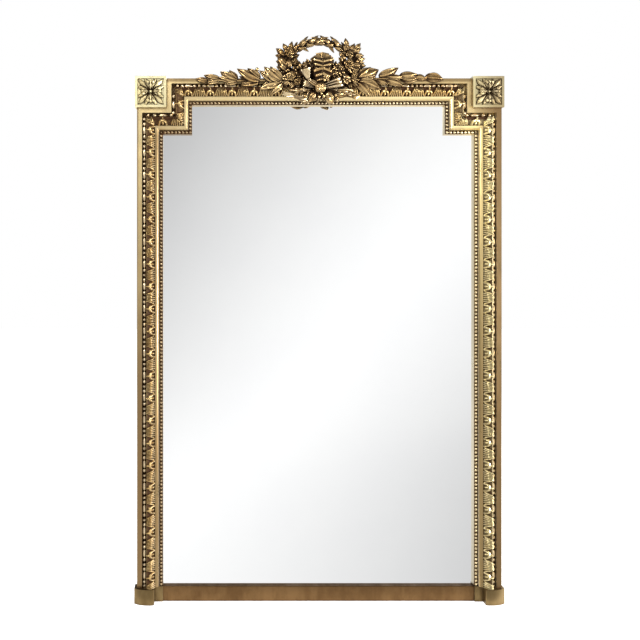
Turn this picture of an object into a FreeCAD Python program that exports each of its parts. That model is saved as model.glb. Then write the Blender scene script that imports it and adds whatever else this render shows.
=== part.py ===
"""Gilt overmantel mirror: carcass, mitred front mouldings, mirror plate, panelled back and carved crest.

Millimetres. X runs to the right seen from the front, the front faces -Y, Z is up.
The back of the carcass lies in the plane Y = 0 and the mirror stands on Z = 0, centred on X = 0.
"""

import FreeCAD
import Part
import Sketcher
import math
import os
from FreeCAD import Placement, Rotation, Vector

doc = FreeCAD.newDocument("overmantel_mirror")
sheet = doc.addObject("Spreadsheet::Sheet", "Sizes")

SIZES = {
    # the whole frame
    "frame_width": 1094, "frame_height": 1575, "corner_step": 88,
    # bands of the front moulding, from the outer edge to the sight edge
    "flat_band": 15, "reel_channel": 13, "leaf_band": 24, "quirk_band": 2, "roll_band": 12, "bead_band": 11,
    # heights of those bands above the carcass
    "flat_height": 28, "channel_height": 12, "leaf_bed_outer": 33, "leaf_bed_inner": 20,
    "roll_outer": 24, "roll_inner": 14, "roll_radius": 14, "bead_bed": 11,
    # carved strips
    "leaf_rise": 7, "leaf_pitch": 35, "bead_pitch": 10.8, "reel_pitch": 70,
    # carcass
    "carcass_width": 66, "carcass_depth": 30, "lower_carcass": 33, "rebate_width": 12,
    "tenon_length": 40, "tenon_thick": 10, "tenon_inset": 15, "tenon_shoulder": 7,
    # foot of the frame
    "rail_height": 44, "rail_thick": 13, "rail_round": 3,
    "plinth_height": 46, "plinth_overhang": 8, "plinth_front": 42, "plinth_side": 30, "plinth_inner": 17,
    "plinth_radius": 70,
    # corner blocks
    "block_overhang": 5, "block_front": 36, "block_rim": 7, "block_recess": 3,
    "patera_leaf": 40, "patera_rise": 6,
    # mirror plate
    "glass_thick": 5, "glass_gap": 2, "glazing_leg": 11, "glazing_long": 55,
    # panelled back
    "back_thick": 12, "back_gap": 0.5, "back_stile": 60, "back_rail": 70, "panel_thick": 6,
    "groove_deep": 8, "panel_play": 0.1,
    # crest
    "crest_board_inset": 16, "crest_board_half": 100, "crest_board_rise": 38, "crest_tenon": 25,
    "boss_half": 58, "boss_rise": 36, "boss_ease": 8,
    "wreath_half": 110, "wreath_rise": 94, "wreath_centre": 16, "wreath_thick": 11,
    "rose_radius": 23, "spray_thick": 4, "quiver_long": 92, "quiver_mouth": 16, "quiver_foot": 9,
    "ribbon_thick": 6,
    # ironwork on the back
    "strap_width": 22, "strap_long": 62, "strap_thick": 1.8, "strap_height": 1180,
    "eye_wall": 1.7, "eye_play": 0.5, "eye_width": 6, "ring_radius": 13, "ring_wire": 1.8, "ring_play": 0.5,
    "iron_width": 18, "iron_leg": 14, "iron_rise": 26, "iron_thick": 2.5, "iron_place": 78,
    "screw_shank": 1.6, "screw_head": 3.2, "screw_long": 16, "screw_play": 0.1,
}
for row, (alias, value) in enumerate(SIZES.items(), 1):
    sheet.set(f"A{row}", alias)
    sheet.set(f"B{row}", str(value))
    sheet.setAlias(f"B{row}", alias)
doc.recompute()


def named(text):
    """An expression in which each size name points at its cell."""
    words = []
    for word in text.replace("(", "( ").replace(")", " )").split():
        words.append("Sizes." + word if word in SIZES else word)
    return " ".join(words)


def val(text):
    return float(sheet.evalExpression(named(text)))


# Places that several pieces share.
MOULDING = "( flat_band + reel_channel + leaf_band + quirk_band + roll_band + bead_band )"
HALF = "frame_width / 2"
OPENING_HALF = "( frame_width / 2 - carcass_width )"
LEAF_START = "( flat_band + reel_channel )"
LEAF_END = "( flat_band + reel_channel + leaf_band )"
ROLL_END = "( flat_band + reel_channel + leaf_band + quirk_band + roll_band )"
REBATE_TOP = "( frame_height - carcass_width + rebate_width )"
REBATE_FOOT = "( lower_carcass - rebate_width )"
BACK_HALF = "( frame_width / 2 - carcass_width + rebate_width - back_gap )"
LEAF_CREST = "( leaf_bed_outer * 0.75 + leaf_bed_inner * 0.25 + leaf_rise * 1.5 )"
QUIVER_OUT = "( carcass_depth + " + LEAF_CREST + " + quiver_foot + 2.5 )"
BOSS_DEPTH = "( " + LEAF_CREST + " + quiver_foot - quiver_mouth + 7 )"
EYE_HOLE = "( ring_wire + eye_play )"
EYE_RADIUS = "( ring_wire + eye_play + eye_wall )"
EYE_OUT = "( strap_thick + ring_play + ring_wire )"
DOWN = Rotation(Vector(1, 0, 0), 180)
LEFTWARD = Rotation(Vector(1, 0, -1), 180)


def place(item, x, y, z, turn=None):
    item.Placement = Placement(Vector(val(x), val(y), val(z)), turn or Rotation())
    for axis, text in zip("xyz", (x, y, z)):
        item.setExpression(f"Placement.Base.{axis}", named(text))
    return item


def new_body(label):
    body = doc.addObject("PartDesign::Body", label)
    body.Label = label
    return body


def new_sketch(body, label, plane, offset="0"):
    sketch = body.newObject("Sketcher::SketchObject", label)
    support = [f for f in body.Origin.OriginFeatures if f.Role == plane][0]
    sketch.AttachmentSupport = [(support, "")]
    sketch.MapMode = "FlatFace"
    if offset != "0":
        sketch.setExpression("AttachmentOffset.Base.z", named(offset))
    return sketch


def pin(sketch, side, end, x, y):
    """Holds one corner at a place given by two expressions."""
    for kind, axis, text in (("DistanceX", -2, x), ("DistanceY", -1, y)):
        if text == "0":
            sketch.addConstraint(Sketcher.Constraint("PointOnObject", side, end, axis))
        else:
            held = sketch.addConstraint(Sketcher.Constraint(kind, -1, 1, side, end, val(text)))
            sketch.setExpression(f"Constraints[{held}]", named(text))


def outline(sketch, points, rounds=None):
    """Closed outline. `rounds` names the sides that are arcs: radius, and 1 or -1 for the side of the centre."""
    rounds = rounds or {}
    spots = [Vector(val(x), val(y), 0) for x, y in points]
    count = len(points)
    ends = []
    for i in range(count):
        a, b = spots[i], spots[(i + 1) % count]
        if i not in rounds:
            ends.append((sketch.addGeometry(Part.LineSegment(a, b)), 1, 2))
            continue
        text, hand = rounds[i]
        radius = val(text)
        chord = b - a
        across = Vector(-chord.y, chord.x, 0).normalize()
        centre = (a + b) * 0.5 + across * hand * math.sqrt(radius ** 2 - chord.Length ** 2 / 4)
        first, last = (a, b) if hand > 0 else (b, a)
        start = math.atan2(first.y - centre.y, first.x - centre.x)
        stop = math.atan2(last.y - centre.y, last.x - centre.x)
        if stop < start:
            stop += 2 * math.pi
        arc = Part.ArcOfCircle(Part.Circle(centre, Vector(0, 0, 1), radius), start, stop)
        side = sketch.addGeometry(arc)
        ends.append((side, 1, 2) if hand > 0 else (side, 2, 1))
    for i in range(count):
        side, _, last = ends[i]
        after, first, _ = ends[(i + 1) % count]
        sketch.addConstraint(Sketcher.Constraint("Coincident", side, last, after, first))
    for i, (x, y) in enumerate(points):
        pin(sketch, ends[i][0], ends[i][1], x, y)
    for i, (text, _) in rounds.items():
        held = sketch.addConstraint(Sketcher.Constraint("Radius", ends[i][0], val(text)))
        sketch.setExpression(f"Constraints[{held}]", named(text))


def box_points(x0, x1, y0, y1):
    return [(x0, y0), (x1, y0), (x1, y1), (x0, y1)]


def ring_line(sketch, x, y, radius):
    side = sketch.addGeometry(Part.Circle(Vector(val(x), val(y), 0), Vector(0, 0, 1), val(radius)))
    pin(sketch, side, 3, x, y)
    held = sketch.addConstraint(Sketcher.Constraint("Radius", side, val(radius)))
    sketch.setExpression(f"Constraints[{held}]", named(radius))


def pad(body, sketch, length, reverse=False, centred=False):
    feature = body.newObject("PartDesign::Pad", sketch.Name + "_pad")
    feature.Profile = sketch
    feature.setExpression("Length", named(length))
    feature.Reversed = reverse
    feature.Midplane = centred
    return feature


def pocket(body, sketch, length, reverse=False, centred=False):
    feature = body.newObject("PartDesign::Pocket", sketch.Name + "_pocket")
    feature.Profile = sketch
    feature.setExpression("Length", named(length))
    feature.Reversed = reverse
    feature.Midplane = centred
    return feature


def mirrored(label, source):
    twin = doc.addObject("Part::Mirroring", label)
    twin.Label = label
    twin.Source = source
    twin.Base = Vector(0, 0, 0)
    twin.Normal = Vector(1, 0, 0)
    return twin


def solid_piece(label, shape):
    piece = doc.addObject("Part::Feature", label)
    piece.Label = label
    piece.Shape = shape
    return piece


def less(label, base, tool):
    cut = doc.addObject("Part::Cut", label)
    cut.Label = label
    cut.Base = base
    cut.Tool = tool
    return cut


nodes = []


# Carcass: two full height stiles with the rails tenoned between them, rebated behind for the panelled back.
def carcass_stile():
    body = new_body("carcass_stile_blank")
    plan = new_sketch(body, "stile_plan", "XY_Plane")
    outline(plan, box_points("0", "carcass_width", "- carcass_depth", "0"))
    pad(body, plan, "frame_height")
    rebate = new_sketch(body, "stile_rebate", "XZ_Plane")
    outline(rebate, box_points("carcass_width - rebate_width", "carcass_width + 1", REBATE_FOOT, REBATE_TOP))
    pocket(body, rebate, "back_thick", reverse=True)
    mortises = new_sketch(body, "stile_mortises", "YZ_Plane", "carcass_width")
    for low, high in (("frame_height - carcass_width", "frame_height"), ("0", "lower_carcass")):
        outline(mortises, box_points("- tenon_inset - tenon_thick", "- tenon_inset",
                                     low + " + tenon_shoulder", high + " - tenon_shoulder"))
    pocket(body, mortises, "tenon_length")
    return place(body, "- " + HALF, "0", "0")


def carcass_rail(label, low, high, rebate_low, rebate_high):
    body = new_body(label)
    face = new_sketch(body, label + "_face", "XZ_Plane")
    outline(face, box_points("- " + OPENING_HALF, OPENING_HALF, low, high))
    pad(body, face, "carcass_depth")
    tongue = new_sketch(body, label + "_tongue", "XZ_Plane", "tenon_inset")
    outline(tongue, box_points("- " + OPENING_HALF + " - tenon_length", OPENING_HALF + " + tenon_length",
                               low + " + tenon_shoulder", high + " - tenon_shoulder"))
    pad(body, tongue, "tenon_thick")
    rebate = new_sketch(body, label + "_rebate", "XZ_Plane")
    outline(rebate, box_points("- " + OPENING_HALF, OPENING_HALF, rebate_low, rebate_high))
    pocket(body, rebate, "back_thick", reverse=True)
    return body


# Front moulding: one profile, drawn as distance in from the outer edge and height above the carcass.
PROFILE = [
    ("0", "0"), (MOULDING, "0"), (MOULDING, "bead_bed"), (ROLL_END, "bead_bed"),
    (ROLL_END, "roll_inner"), (LEAF_END + " + quirk_band", "roll_outer"),
    (LEAF_END + " + quirk_band", "leaf_bed_inner"), (LEAF_END, "leaf_bed_inner"),
    (LEAF_START, "leaf_bed_outer"), (LEAF_START, "channel_height"),
    ("flat_band", "channel_height"), ("flat_band", "flat_height"), ("0", "flat_height"),
]
ROLL_SIDE = {4: ("roll_radius", 1)}

# Each run: length along its outer edge, how its two ends are cut, the place of its outer corner and its direction.
# An end slope of 1 at the start or -1 at the end is a mitre round an outer corner, the opposite an inner corner.
RUNS = {
    "stile": ("( frame_height - corner_step - plinth_height )", 1, 0,
              "- " + HALF, "frame_height - corner_step", DOWN),
    "step_rail": ("corner_step", -1, -1,
                  "- " + HALF + " + corner_step", "frame_height - corner_step", LEFTWARD),
    "step_stile": ("corner_step", 1, 1,
                   "- " + HALF + " + corner_step", "frame_height", DOWN),
    "top": ("( frame_width - 2 * corner_step )", 1, -1,
            HALF + " - corner_step", "frame_height", LEFTWARD),
}


def moulding(run, label):
    length, start, end, x, z, turn = RUNS[run]
    body = new_body(label)
    profile = new_sketch(body, label + "_profile", "XY_Plane", "- " + MOULDING if start < 0 else "0")
    outline(profile, PROFILE, ROLL_SIDE)
    reach = length + (" + " + MOULDING if start < 0 else "") + (" + " + MOULDING if end > 0 else "")
    pad(body, profile, reach)
    far = MOULDING + " + 1"
    cuts = []
    if start:
        back = "- 1" if start > 0 else "- " + MOULDING + " - 1"
        tip = far if start > 0 else "- " + MOULDING + " - 1"
        first = ("- 1", "- 1") if start > 0 else ("- 1", "1")
        cuts.append([first, (far, tip), (far, back)] if start > 0 else [first, ("- 1", back), (far, tip)])
    if end < 0:
        cuts.append([("- 1", length + " + 1"), (far, length + " - " + MOULDING + " - 1"), (far, length + " + 1")])
    if end > 0:
        cuts.append([("- 1", length + " - 1"), (far, length + " + " + MOULDING + " + 1"),
                     ("- 1", length + " + " + MOULDING + " + 1")])
    for number, corner in enumerate(cuts):
        mitre = new_sketch(body, f"{label}_mitre_{number}", "XZ_Plane")
        outline(mitre, corner)
        pocket(body, mitre, "4 * plinth_front", centred=True)
    return place(body, x, "- carcass_depth", z, turn)


def flat_face(*corners):
    return Part.Face(Part.makePolygon([*corners, corners[0]]))


def skinned(rings):
    """Solid whose skin joins one ring of corners to the next in flat faces, closed by its first and last rings."""
    faces = [flat_face(*rings[0]), flat_face(*rings[-1])]
    for lower, upper in zip(rings, rings[1:]):
        for i in range(len(lower)):
            a, b, c, d = lower[i - 1], lower[i], upper[i], upper[i - 1]
            twist = (b - a).cross(d - a).dot(c - a)
            if abs(twist) < 1e-6:
                faces.append(flat_face(a, b, c, d))
            else:
                faces.extend([flat_face(a, b, c), flat_face(a, c, d)])
    shell = Part.makeShell(faces)
    shell.sewShape()
    solid = Part.makeSolid(shell)
    if solid.Volume < 0:
        solid.reverse()
    return solid


# Carved strips laid on the moulding: sections strung along a run, cut to the same mitres.
def strip(run, sections, inset=0.0):
    length, start, end, x, z, turn = RUNS[run]
    length = val(length)

    rings = [[Vector(u, d, start * u + inset) for u, d in sections[0][1]]]
    rings += [[Vector(u, d, s) for u, d in points] for s, points in sections[1:-1]]
    rings.append([Vector(u, d, length + end * u - inset) for u, d in sections[-1][1]])
    shape = skinned(rings)
    shape.Placement = Placement(Vector(val(x), -val("carcass_depth"), val(z)), turn)
    return shape


def clear_run(run, near, far):
    """Start and end of the stretch on which a strip between two distances from the edge is whole."""
    length, start, end, *_ = RUNS[run]
    return max(start * near, start * far), val(length) + min(end * near, end * far)


def half_round(axis, bed, radius):
    """Half of a round above its bed, in three flats."""
    return [(axis + radius, bed), (axis + radius / 2, bed + radius * 0.87),
            (axis - radius / 2, bed + radius * 0.87), (axis - radius, bed)]


def bead_strip(run):
    radius, bed = val("bead_band * 0.44"), val("bead_bed")
    axis = val(ROLL_END + " + bead_band / 2")
    low, high = clear_run(run, axis - radius, axis + radius)
    count = max(2, round((high - low) / val("bead_pitch")))
    pitch = (high - low) / count
    neck = half_round(axis, bed, radius * 0.3)
    sections = [(low, neck)]
    for i in range(count):
        sections.append((low + (i + 0.5) * pitch, half_round(axis, bed, radius)))
        sections.append((low + (i + 1) * pitch, neck))
    return strip(run, sections, inset=0.2)


# One repeat of the bead and reel, as shares of its pitch and of its radius: olive, bead, disc, bead.
REEL_SHAPE = [(0.0, 0.3), (0.03, 0.9), (0.23, 0.9), (0.26, 0.3), (0.38, 1.0), (0.5, 0.3), (0.63, 0.65),
              (0.76, 0.3), (0.88, 1.0)]


def reel_strip(run):
    radius, bed = val("reel_channel * 0.42"), val("channel_height")
    axis = val("flat_band + reel_channel / 2")
    low, high = clear_run(run, axis - radius, axis + radius)
    count = max(1, round((high - low) / val("reel_pitch")))
    pitch = (high - low) / count
    sections = []
    for i in range(count):
        sections += [(low + (i + s) * pitch, half_round(axis, bed, r * radius)) for s, r in REEL_SHAPE]
    sections.append((high, half_round(axis, bed, radius * 0.3)))
    return strip(run, sections, inset=0.2)


def leaf_section(share):
    """Section through the leaf strip, `share` of its full rise above the sloping bed."""
    near, far = val(LEAF_START), val(LEAF_END)
    high, low = val("leaf_bed_outer"), val("leaf_bed_inner")
    rise = val("leaf_rise") * share
    third = near + (far - near) * 0.25
    slope = high + (low - high) * 0.25
    return [(far, low), (far, low + rise * 0.6), (third, slope + rise * 1.5), (near, high + rise * 0.8),
            (near, high)]


def leaf_strip(run):
    low, high = clear_run(run, val(LEAF_START), val(LEAF_END))
    count = max(1, round((high - low) / val("leaf_pitch")))
    pitch = (high - low) / count
    sections = [(low, leaf_section(0.5))]
    for i in range(count):
        sections.append((low + (i + 0.5) * pitch, leaf_section(1.0)))
        sections.append((low + (i + 0.97) * pitch, leaf_section(0.5)))
    return strip(run, sections)


def carved_strips(kind, maker):
    """The strip on each run: left stile, right stile, top, and the four short steps as one set."""
    left = solid_piece(kind + "_left", maker("stile"))
    top = solid_piece(kind + "_top", maker("top"))
    short = Part.makeCompound([maker("step_rail"), maker("step_stile")])
    steps = solid_piece(kind + "_steps", Part.makeCompound([short, short.mirror(Vector(), Vector(1, 0, 0))]))
    return [left, mirrored(kind + "_right", left), top, steps]


# Foot of the frame.
def lower_rail():
    body = new_body("lower_rail")
    end = new_sketch(body, "lower_rail_end", "YZ_Plane")
    front = "- carcass_depth - rail_thick"
    outline(end, [("- carcass_depth", "0"), ("- carcass_depth", "rail_height"),
                  (front + " + rail_round", "rail_height"), (front, "rail_height - rail_round"), (front, "0")],
            {2: ("rail_round", 1)})
    pad(body, end, "frame_width - 2 * " + MOULDING, centred=True)
    return body


def plinth():
    body = new_body("plinth_left")
    plan = new_sketch(body, "plinth_plan", "XY_Plane")
    outline(plan, [("- plinth_overhang", "0"), ("- plinth_overhang", "- plinth_side"),
                   (LEAF_END + " - 2", "- plinth_front"), (LEAF_END, "- plinth_front + 2"),
                   (LEAF_END, "- plinth_inner"), (MOULDING, "- plinth_inner"), (MOULDING, "0")],
            {1: ("plinth_radius", 1)})
    pad(body, plan, "plinth_height")
    return place(body, "- " + HALF, "- carcass_depth", "0")


def corner_block():
    body = new_body("corner_block_left")
    square = new_sketch(body, "block_square", "XZ_Plane")
    outline(square, box_points("- block_overhang", "corner_step", "- corner_step", "block_overhang"))
    pad(body, square, "block_front")
    panel = new_sketch(body, "block_panel", "XZ_Plane", "block_front")
    outline(panel, box_points("- block_overhang + block_rim", "corner_step - block_rim",
                              "- corner_step + block_rim", "block_overhang - block_rim"))
    pocket(body, panel, "block_recess")
    return place(body, "- " + HALF, "- carcass_depth", "frame_height")


# Carving: a leaf with a raised midrib, pointing along X with its face to the front.
LEAF_SHAPE = [(0.0, 0.25), (0.3, 0.95), (0.62, 0.85), (1.0, 0.06)]


def leaf(long, wide, thick, lift=0.0):
    rings = []
    for share, size in LEAF_SHAPE:
        at, out = long * share, -lift * share ** 2
        half, ridge = wide / 2 * size, thick * size
        corners = [Vector(at, out, -half), Vector(at, out - ridge, 0), Vector(at, out, half),
                   Vector(at, out + ridge * 0.3, 0)]
        rings.append(corners)
    return skinned(rings)


def dome(radius, rise):
    """Domed button facing the front, its back flat at Y = 0."""
    rings = []
    for share, size in ((0.0, 1.0), (0.5, 0.87), (0.85, 0.5), (1.0, 0.15)):
        turns = [2 * math.pi * k / 10 for k in range(10)]
        rings.append([Vector(radius * size * math.cos(t), -rise * share, radius * size * math.sin(t)) for t in turns])
    return skinned(rings)


def rod(points, directions, radius):
    """Rod of eight flats through points in the plane of the mirror; `directions` point along it."""
    rings = []
    for point, along in zip(points, directions):
        side = along.cross(Vector(0, 1, 0)).normalize()
        turns = [math.pi * (2 * k + 1) / 8 for k in range(8)]
        rings.append([point + side * radius * math.cos(t) + Vector(0, radius * math.sin(t), 0) for t in turns])
    return skinned(rings)


def aimed(shape, x, y, z, degrees):
    """A carved piece turned in the plane of the mirror, then moved to its place."""
    turned = shape.copy()
    turned.Placement = Placement(Vector(x, y, z), Rotation(Vector(0, 1, 0), -degrees))
    return turned


def spanning_leaf(start, tip, wide, thick, y, lift=0.0):
    (x0, z0), (x1, z1) = start, tip
    long = math.hypot(x1 - x0, z1 - z0)
    return aimed(leaf(long, wide, thick, lift), x0, y, z0, math.degrees(math.atan2(z1 - z0, x1 - x0)))


def joined(shapes):
    return shapes[0].multiFuse(shapes[1:]).removeSplitter()


def patera():
    size, rise = val("patera_leaf"), val("patera_rise")
    floor = -val("carcass_depth + block_front - block_recess")
    middle = val("( corner_step - block_overhang ) / 2")
    x, z = middle - val(HALF), val("frame_height") - middle
    button = dome(size * 0.26, rise * 1.5)
    button.translate(Vector(x, floor, z))
    shapes = [button]
    for k in range(8):
        long = size * (1.15 if k % 2 else 0.88)
        shapes.append(aimed(leaf(long, size * 0.55, rise), x, floor - rise * 0.3, z, 45 * k))
    whole = joined(shapes)
    trim = Part.makeBox(4 * size, 4 * size, 4 * size, Vector(x - 2 * size, floor, z - 2 * size))
    return solid_piece("patera_left", whole.cut(trim))


# Mirror plate and what holds it.
def mirror_glass():
    body = new_body("mirror_glass")
    face = new_sketch(body, "glass_face", "XZ_Plane", "carcass_depth - glass_thick")
    half = "( frame_width / 2 - carcass_width - glass_gap )"
    outline(face, box_points("- " + half, half, "lower_carcass + glass_gap",
                             "frame_height - carcass_width - glass_gap"))
    pad(body, face, "glass_thick")
    return body


def glazing_blocks():
    leg, long = val("glazing_leg"), val("glazing_long")
    back = -val("carcass_depth - glass_thick")
    wall, foot, head = val(OPENING_HALF), val("lower_carcass"), val("frame_height - carcass_width")
    corners = [Vector(0, 0, 0), Vector(leg, 0, 0), Vector(0, leg, 0), Vector(0, 0, 0)]
    block = Part.Face(Part.makePolygon(corners)).extrude(Vector(0, 0, long))
    shapes = []
    for share in (0.12, 0.37, 0.62, 0.87):
        z = foot + (head - foot) * share - long / 2
        for side in (-1, 1):
            piece = block.copy() if side < 0 else block.mirror(Vector(), Vector(1, 0, 0))
            piece.translate(Vector(side * wall, back, z))
            shapes.append(piece)
    for share in (0.2, 0.5, 0.8):
        x = -wall + 2 * wall * share
        upper = block.mirror(Vector(), Vector(0, 1, 0))
        upper.Placement = Placement(Vector(x + long / 2, back, head), LEFTWARD)
        shapes.append(upper)
    thick = val("glass_thick")
    for side in (-1, 1):
        pad_x = side * wall / 2 - long / 2
        shapes.append(Part.makeBox(long, thick, val("glass_gap"), Vector(pad_x, back - thick, foot)))
    return solid_piece("glazing_blocks", Part.makeCompound(shapes))


# Panelled back: grooved stiles and rails with two thin panels.
def back_stile():
    body = new_body("back_stile_blank")
    plan = new_sketch(body, "back_stile_plan", "XY_Plane")
    groove = "- ( back_thick + panel_thick ) / 2"
    lip = "- ( back_thick - panel_thick ) / 2"
    outline(plan, [("0", "0"), ("0", "- back_thick"), ("back_stile", "- back_thick"), ("back_stile", groove),
                   ("back_stile - groove_deep", groove), ("back_stile - groove_deep", lip),
                   ("back_stile", lip), ("back_stile", "0")])
    pad(body, plan, REBATE_TOP + " - " + REBATE_FOOT + " - 2 * back_gap")
    return place(body, "- " + BACK_HALF, "0", REBATE_FOOT + " + back_gap")


def back_rail(label, low, groove_above, groove_below):
    body = new_body(label)
    inner = "( " + BACK_HALF + " - back_stile )"
    face = new_sketch(body, label + "_face", "XZ_Plane")
    outline(face, box_points("- " + inner, inner, low, low + " + back_rail"))
    pad(body, face, "back_thick")
    tongue = new_sketch(body, label + "_tongue", "XZ_Plane", "( back_thick - panel_thick ) / 2")
    outline(tongue, box_points("- " + inner + " - groove_deep", inner + " + groove_deep",
                               low + " + groove_deep", low + " + back_rail - groove_deep"))
    pad(body, tongue, "panel_thick")
    groove = new_sketch(body, label + "_groove", "XZ_Plane", "( back_thick - panel_thick ) / 2")
    if groove_below:
        outline(groove, box_points("- " + inner, inner, low, low + " + groove_deep"))
    if groove_above:
        outline(groove, box_points("- " + inner, inner, low + " + back_rail - groove_deep", low + " + back_rail"))
    pocket(body, groove, "panel_thick", reverse=True)
    return body


RAIL_LOW = "( " + REBATE_FOOT + " + back_gap )"
RAIL_HIGH = "( " + REBATE_TOP + " - back_gap - back_rail )"
RAIL_MIDDLE = "( ( " + RAIL_LOW + " + " + RAIL_HIGH + " ) / 2 )"


def back_panel(label, rail_below, rail_above):
    body = new_body(label)
    half = "( " + BACK_HALF + " - back_stile + groove_deep - back_gap )"
    face = new_sketch(body, label + "_face", "XZ_Plane", "( back_thick - panel_thick ) / 2 + panel_play")
    outline(face, box_points("- " + half, half, rail_below + " + back_rail - groove_deep",
                             rail_above + " + groove_deep - back_gap"))
    pad(body, face, "panel_thick - 2 * panel_play")
    return body


# Screws: a flush countersunk head and a plain shank, pointing along -Y.
def screw(play=0.0):
    head, shank = val("screw_head") + play, val("screw_shank") + play
    taper = head - shank
    shape = Part.makeCone(head, shank, taper, Vector(), Vector(0, -1, 0))
    return shape.fuse(Part.makeCylinder(shank, val("screw_long") + play - taper, Vector(0, -taper, 0),
                                        Vector(0, -1, 0)))


def screws_at(places, play=0.0, turn=None):
    shapes = []
    for place_ in places:
        one = screw(play)
        one.Placement = Placement(Vector(*place_), turn or Rotation())
        shapes.append(one)
    return shapes


def back_screw_places():
    edge = val("rebate_width") / 2
    side = val(BACK_HALF) - edge + val("back_gap")
    foot, head = val(REBATE_FOOT) + edge, val(REBATE_TOP) - edge
    places = []
    for share in (0.08, 0.36, 0.64, 0.92):
        z = foot + (head - foot) * share
        places += [(-side, 0, z), (side, 0, z)]
    for share in (-0.5, 0, 0.5):
        places += [(share * side, 0, foot), (share * side, 0, head)]
    return places


# Crest: a board tenoned into the top rail carries the carved boss and the wreath.
def crest_board():
    body = new_body("crest_board_blank")
    face = new_sketch(body, "crest_board_face", "XZ_Plane", "crest_board_inset")
    outline(face, [("- crest_board_half", "0"), ("crest_board_half", "0"),
                   ("crest_board_half", "crest_board_rise / 3"), ("- crest_board_half", "crest_board_rise / 3")],
            {2: ("crest_board_half * 2.2", 1)})
    pad(body, face, "carcass_depth - crest_board_inset")
    tenons = new_sketch(body, "crest_tenons", "XZ_Plane", "crest_board_inset + 4")
    for near, far in (("- crest_board_half * 0.7", "- crest_board_half * 0.3"),
                      ("crest_board_half * 0.3", "crest_board_half * 0.7")):
        outline(tenons, box_points(near, far, "- crest_tenon", "2"))
    pad(body, tenons, "carcass_depth - crest_board_inset - 8")
    return place(body, "0", "0", "frame_height")


def top_rail_mortises(body):
    slots = new_sketch(body, "crest_mortises", "XY_Plane", "frame_height")
    for near, far in (("- crest_board_half * 0.7", "- crest_board_half * 0.3"),
                      ("crest_board_half * 0.3", "crest_board_half * 0.7")):
        outline(slots, box_points(near, far, "- carcass_depth + 4", "- crest_board_inset - 4"))
    pocket(body, slots, "crest_tenon")


def crest_boss():
    body = new_body("crest_boss_blank")
    face = new_sketch(body, "boss_face", "XZ_Plane", "carcass_depth")
    outline(face, [("- boss_half", "0"), ("boss_half", "0"), ("boss_half * 0.6", "boss_rise"),
                   ("- boss_half * 0.6", "boss_rise")], {2: ("boss_half", 1)})
    block = pad(body, face, BOSS_DEPTH)
    doc.recompute()
    front = -val("carcass_depth + " + BOSS_DEPTH)
    edges = [f"Edge{i}" for i, edge in enumerate(block.Shape.Edges, 1)
             if abs(edge.CenterOfMass.y - front) < 0.01 and edge.CenterOfMass.z > 1]
    eased = body.newObject("PartDesign::Chamfer", "boss_eased")
    eased.Base = (block, edges)
    eased.setExpression("Size", named("boss_ease"))
    return place(body, "0", "0", "frame_height")


# Half the width across flats of an eight-sided rod, as a share of its radius.
ACROSS_FLATS = 0.9239
WREATH_Y = f"( - carcass_depth - wreath_thick * {ACROSS_FLATS} )"


def wreath_point(degrees, out=0.0):
    """A point of the wreath's oval, moved outwards by `out`."""
    a, b = val("wreath_half"), val("wreath_rise")
    t = math.radians(degrees)
    return ((a + out) * math.cos(t), val("wreath_centre") + (b + out) * math.sin(t))


def wreath():
    a, b, thick, top = val("wreath_half"), val("wreath_rise"), val("wreath_thick"), val("frame_height")
    y = val(WREATH_Y)
    turns = [math.radians(-20 + 220 * k / 26) for k in range(27)]
    spots = [Vector(a * math.cos(t), y, top + val("wreath_centre") + b * math.sin(t)) for t in turns]
    headings = [Vector(-a * math.sin(t), 0, b * math.cos(t)) for t in turns]
    core = rod(spots, headings, thick)
    core = core.cut(Part.makeBox(4 * a, 4 * a, 2 * b, Vector(-2 * a, -2 * a, top - 2 * b)))
    shapes = [core]
    for side in (-1, 1):
        for k in range(5):
            degrees = 28 + 13 * k
            for out, spread in ((thick * 0.5, 24), (-thick * 0.5, -24)):
                x, z = wreath_point(degrees, out)
                heading = degrees + 90 - spread
                blade = aimed(leaf(36, 15, 5, 4), x, y - thick * 0.6, top + z, heading)
                shapes.append(blade if side > 0 else blade.mirror(Vector(), Vector(1, 0, 0)))
    return solid_piece("wreath", joined(shapes))


def rose(radius):
    """Five open petals round a domed heart, facing the front, with a flat back."""
    shapes = [dome(radius * 0.5, radius * 0.55)]
    for k in range(5):
        petal = aimed(leaf(radius, radius * 0.95, radius * 0.32, radius * 0.15), 0, 0, 0, 90 + 72 * k)
        shapes.append(petal)
    slab = Part.makeBox(4 * radius, 4 * radius, 4 * radius, Vector(-2 * radius, 0, -2 * radius))
    return joined(shapes).cut(slab)


# Roses: across, up from the top edge, share of the full radius, and whether the rose lies over the moulding.
ROSES_LEFT = [(-92, 76, 1.0, False), (-108, 36, 0.85, False), (-92, 1, 1.0, True)]
ROSES_RIGHT = [(90, 76, 0.75, False), (106, 42, 0.9, False), (88, 1, 1.0, True)]


def roses(label, places, ground):
    shapes = []
    for x, z, share, low in places:
        flower = rose(val("rose_radius") * share)
        y = -val("carcass_depth + flat_height") if low else val(WREATH_Y) - val("wreath_thick") * 0.5
        flower.translate(Vector(x, y, val("frame_height") + z))
        shapes.append(max(flower.cut(ground).Solids, key=lambda solid: solid.Volume))
    return solid_piece(label, Part.makeCompound(shapes))


QUIVER_FOOT = (-7, -30)
QUIVER_LEAN = 9


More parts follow.
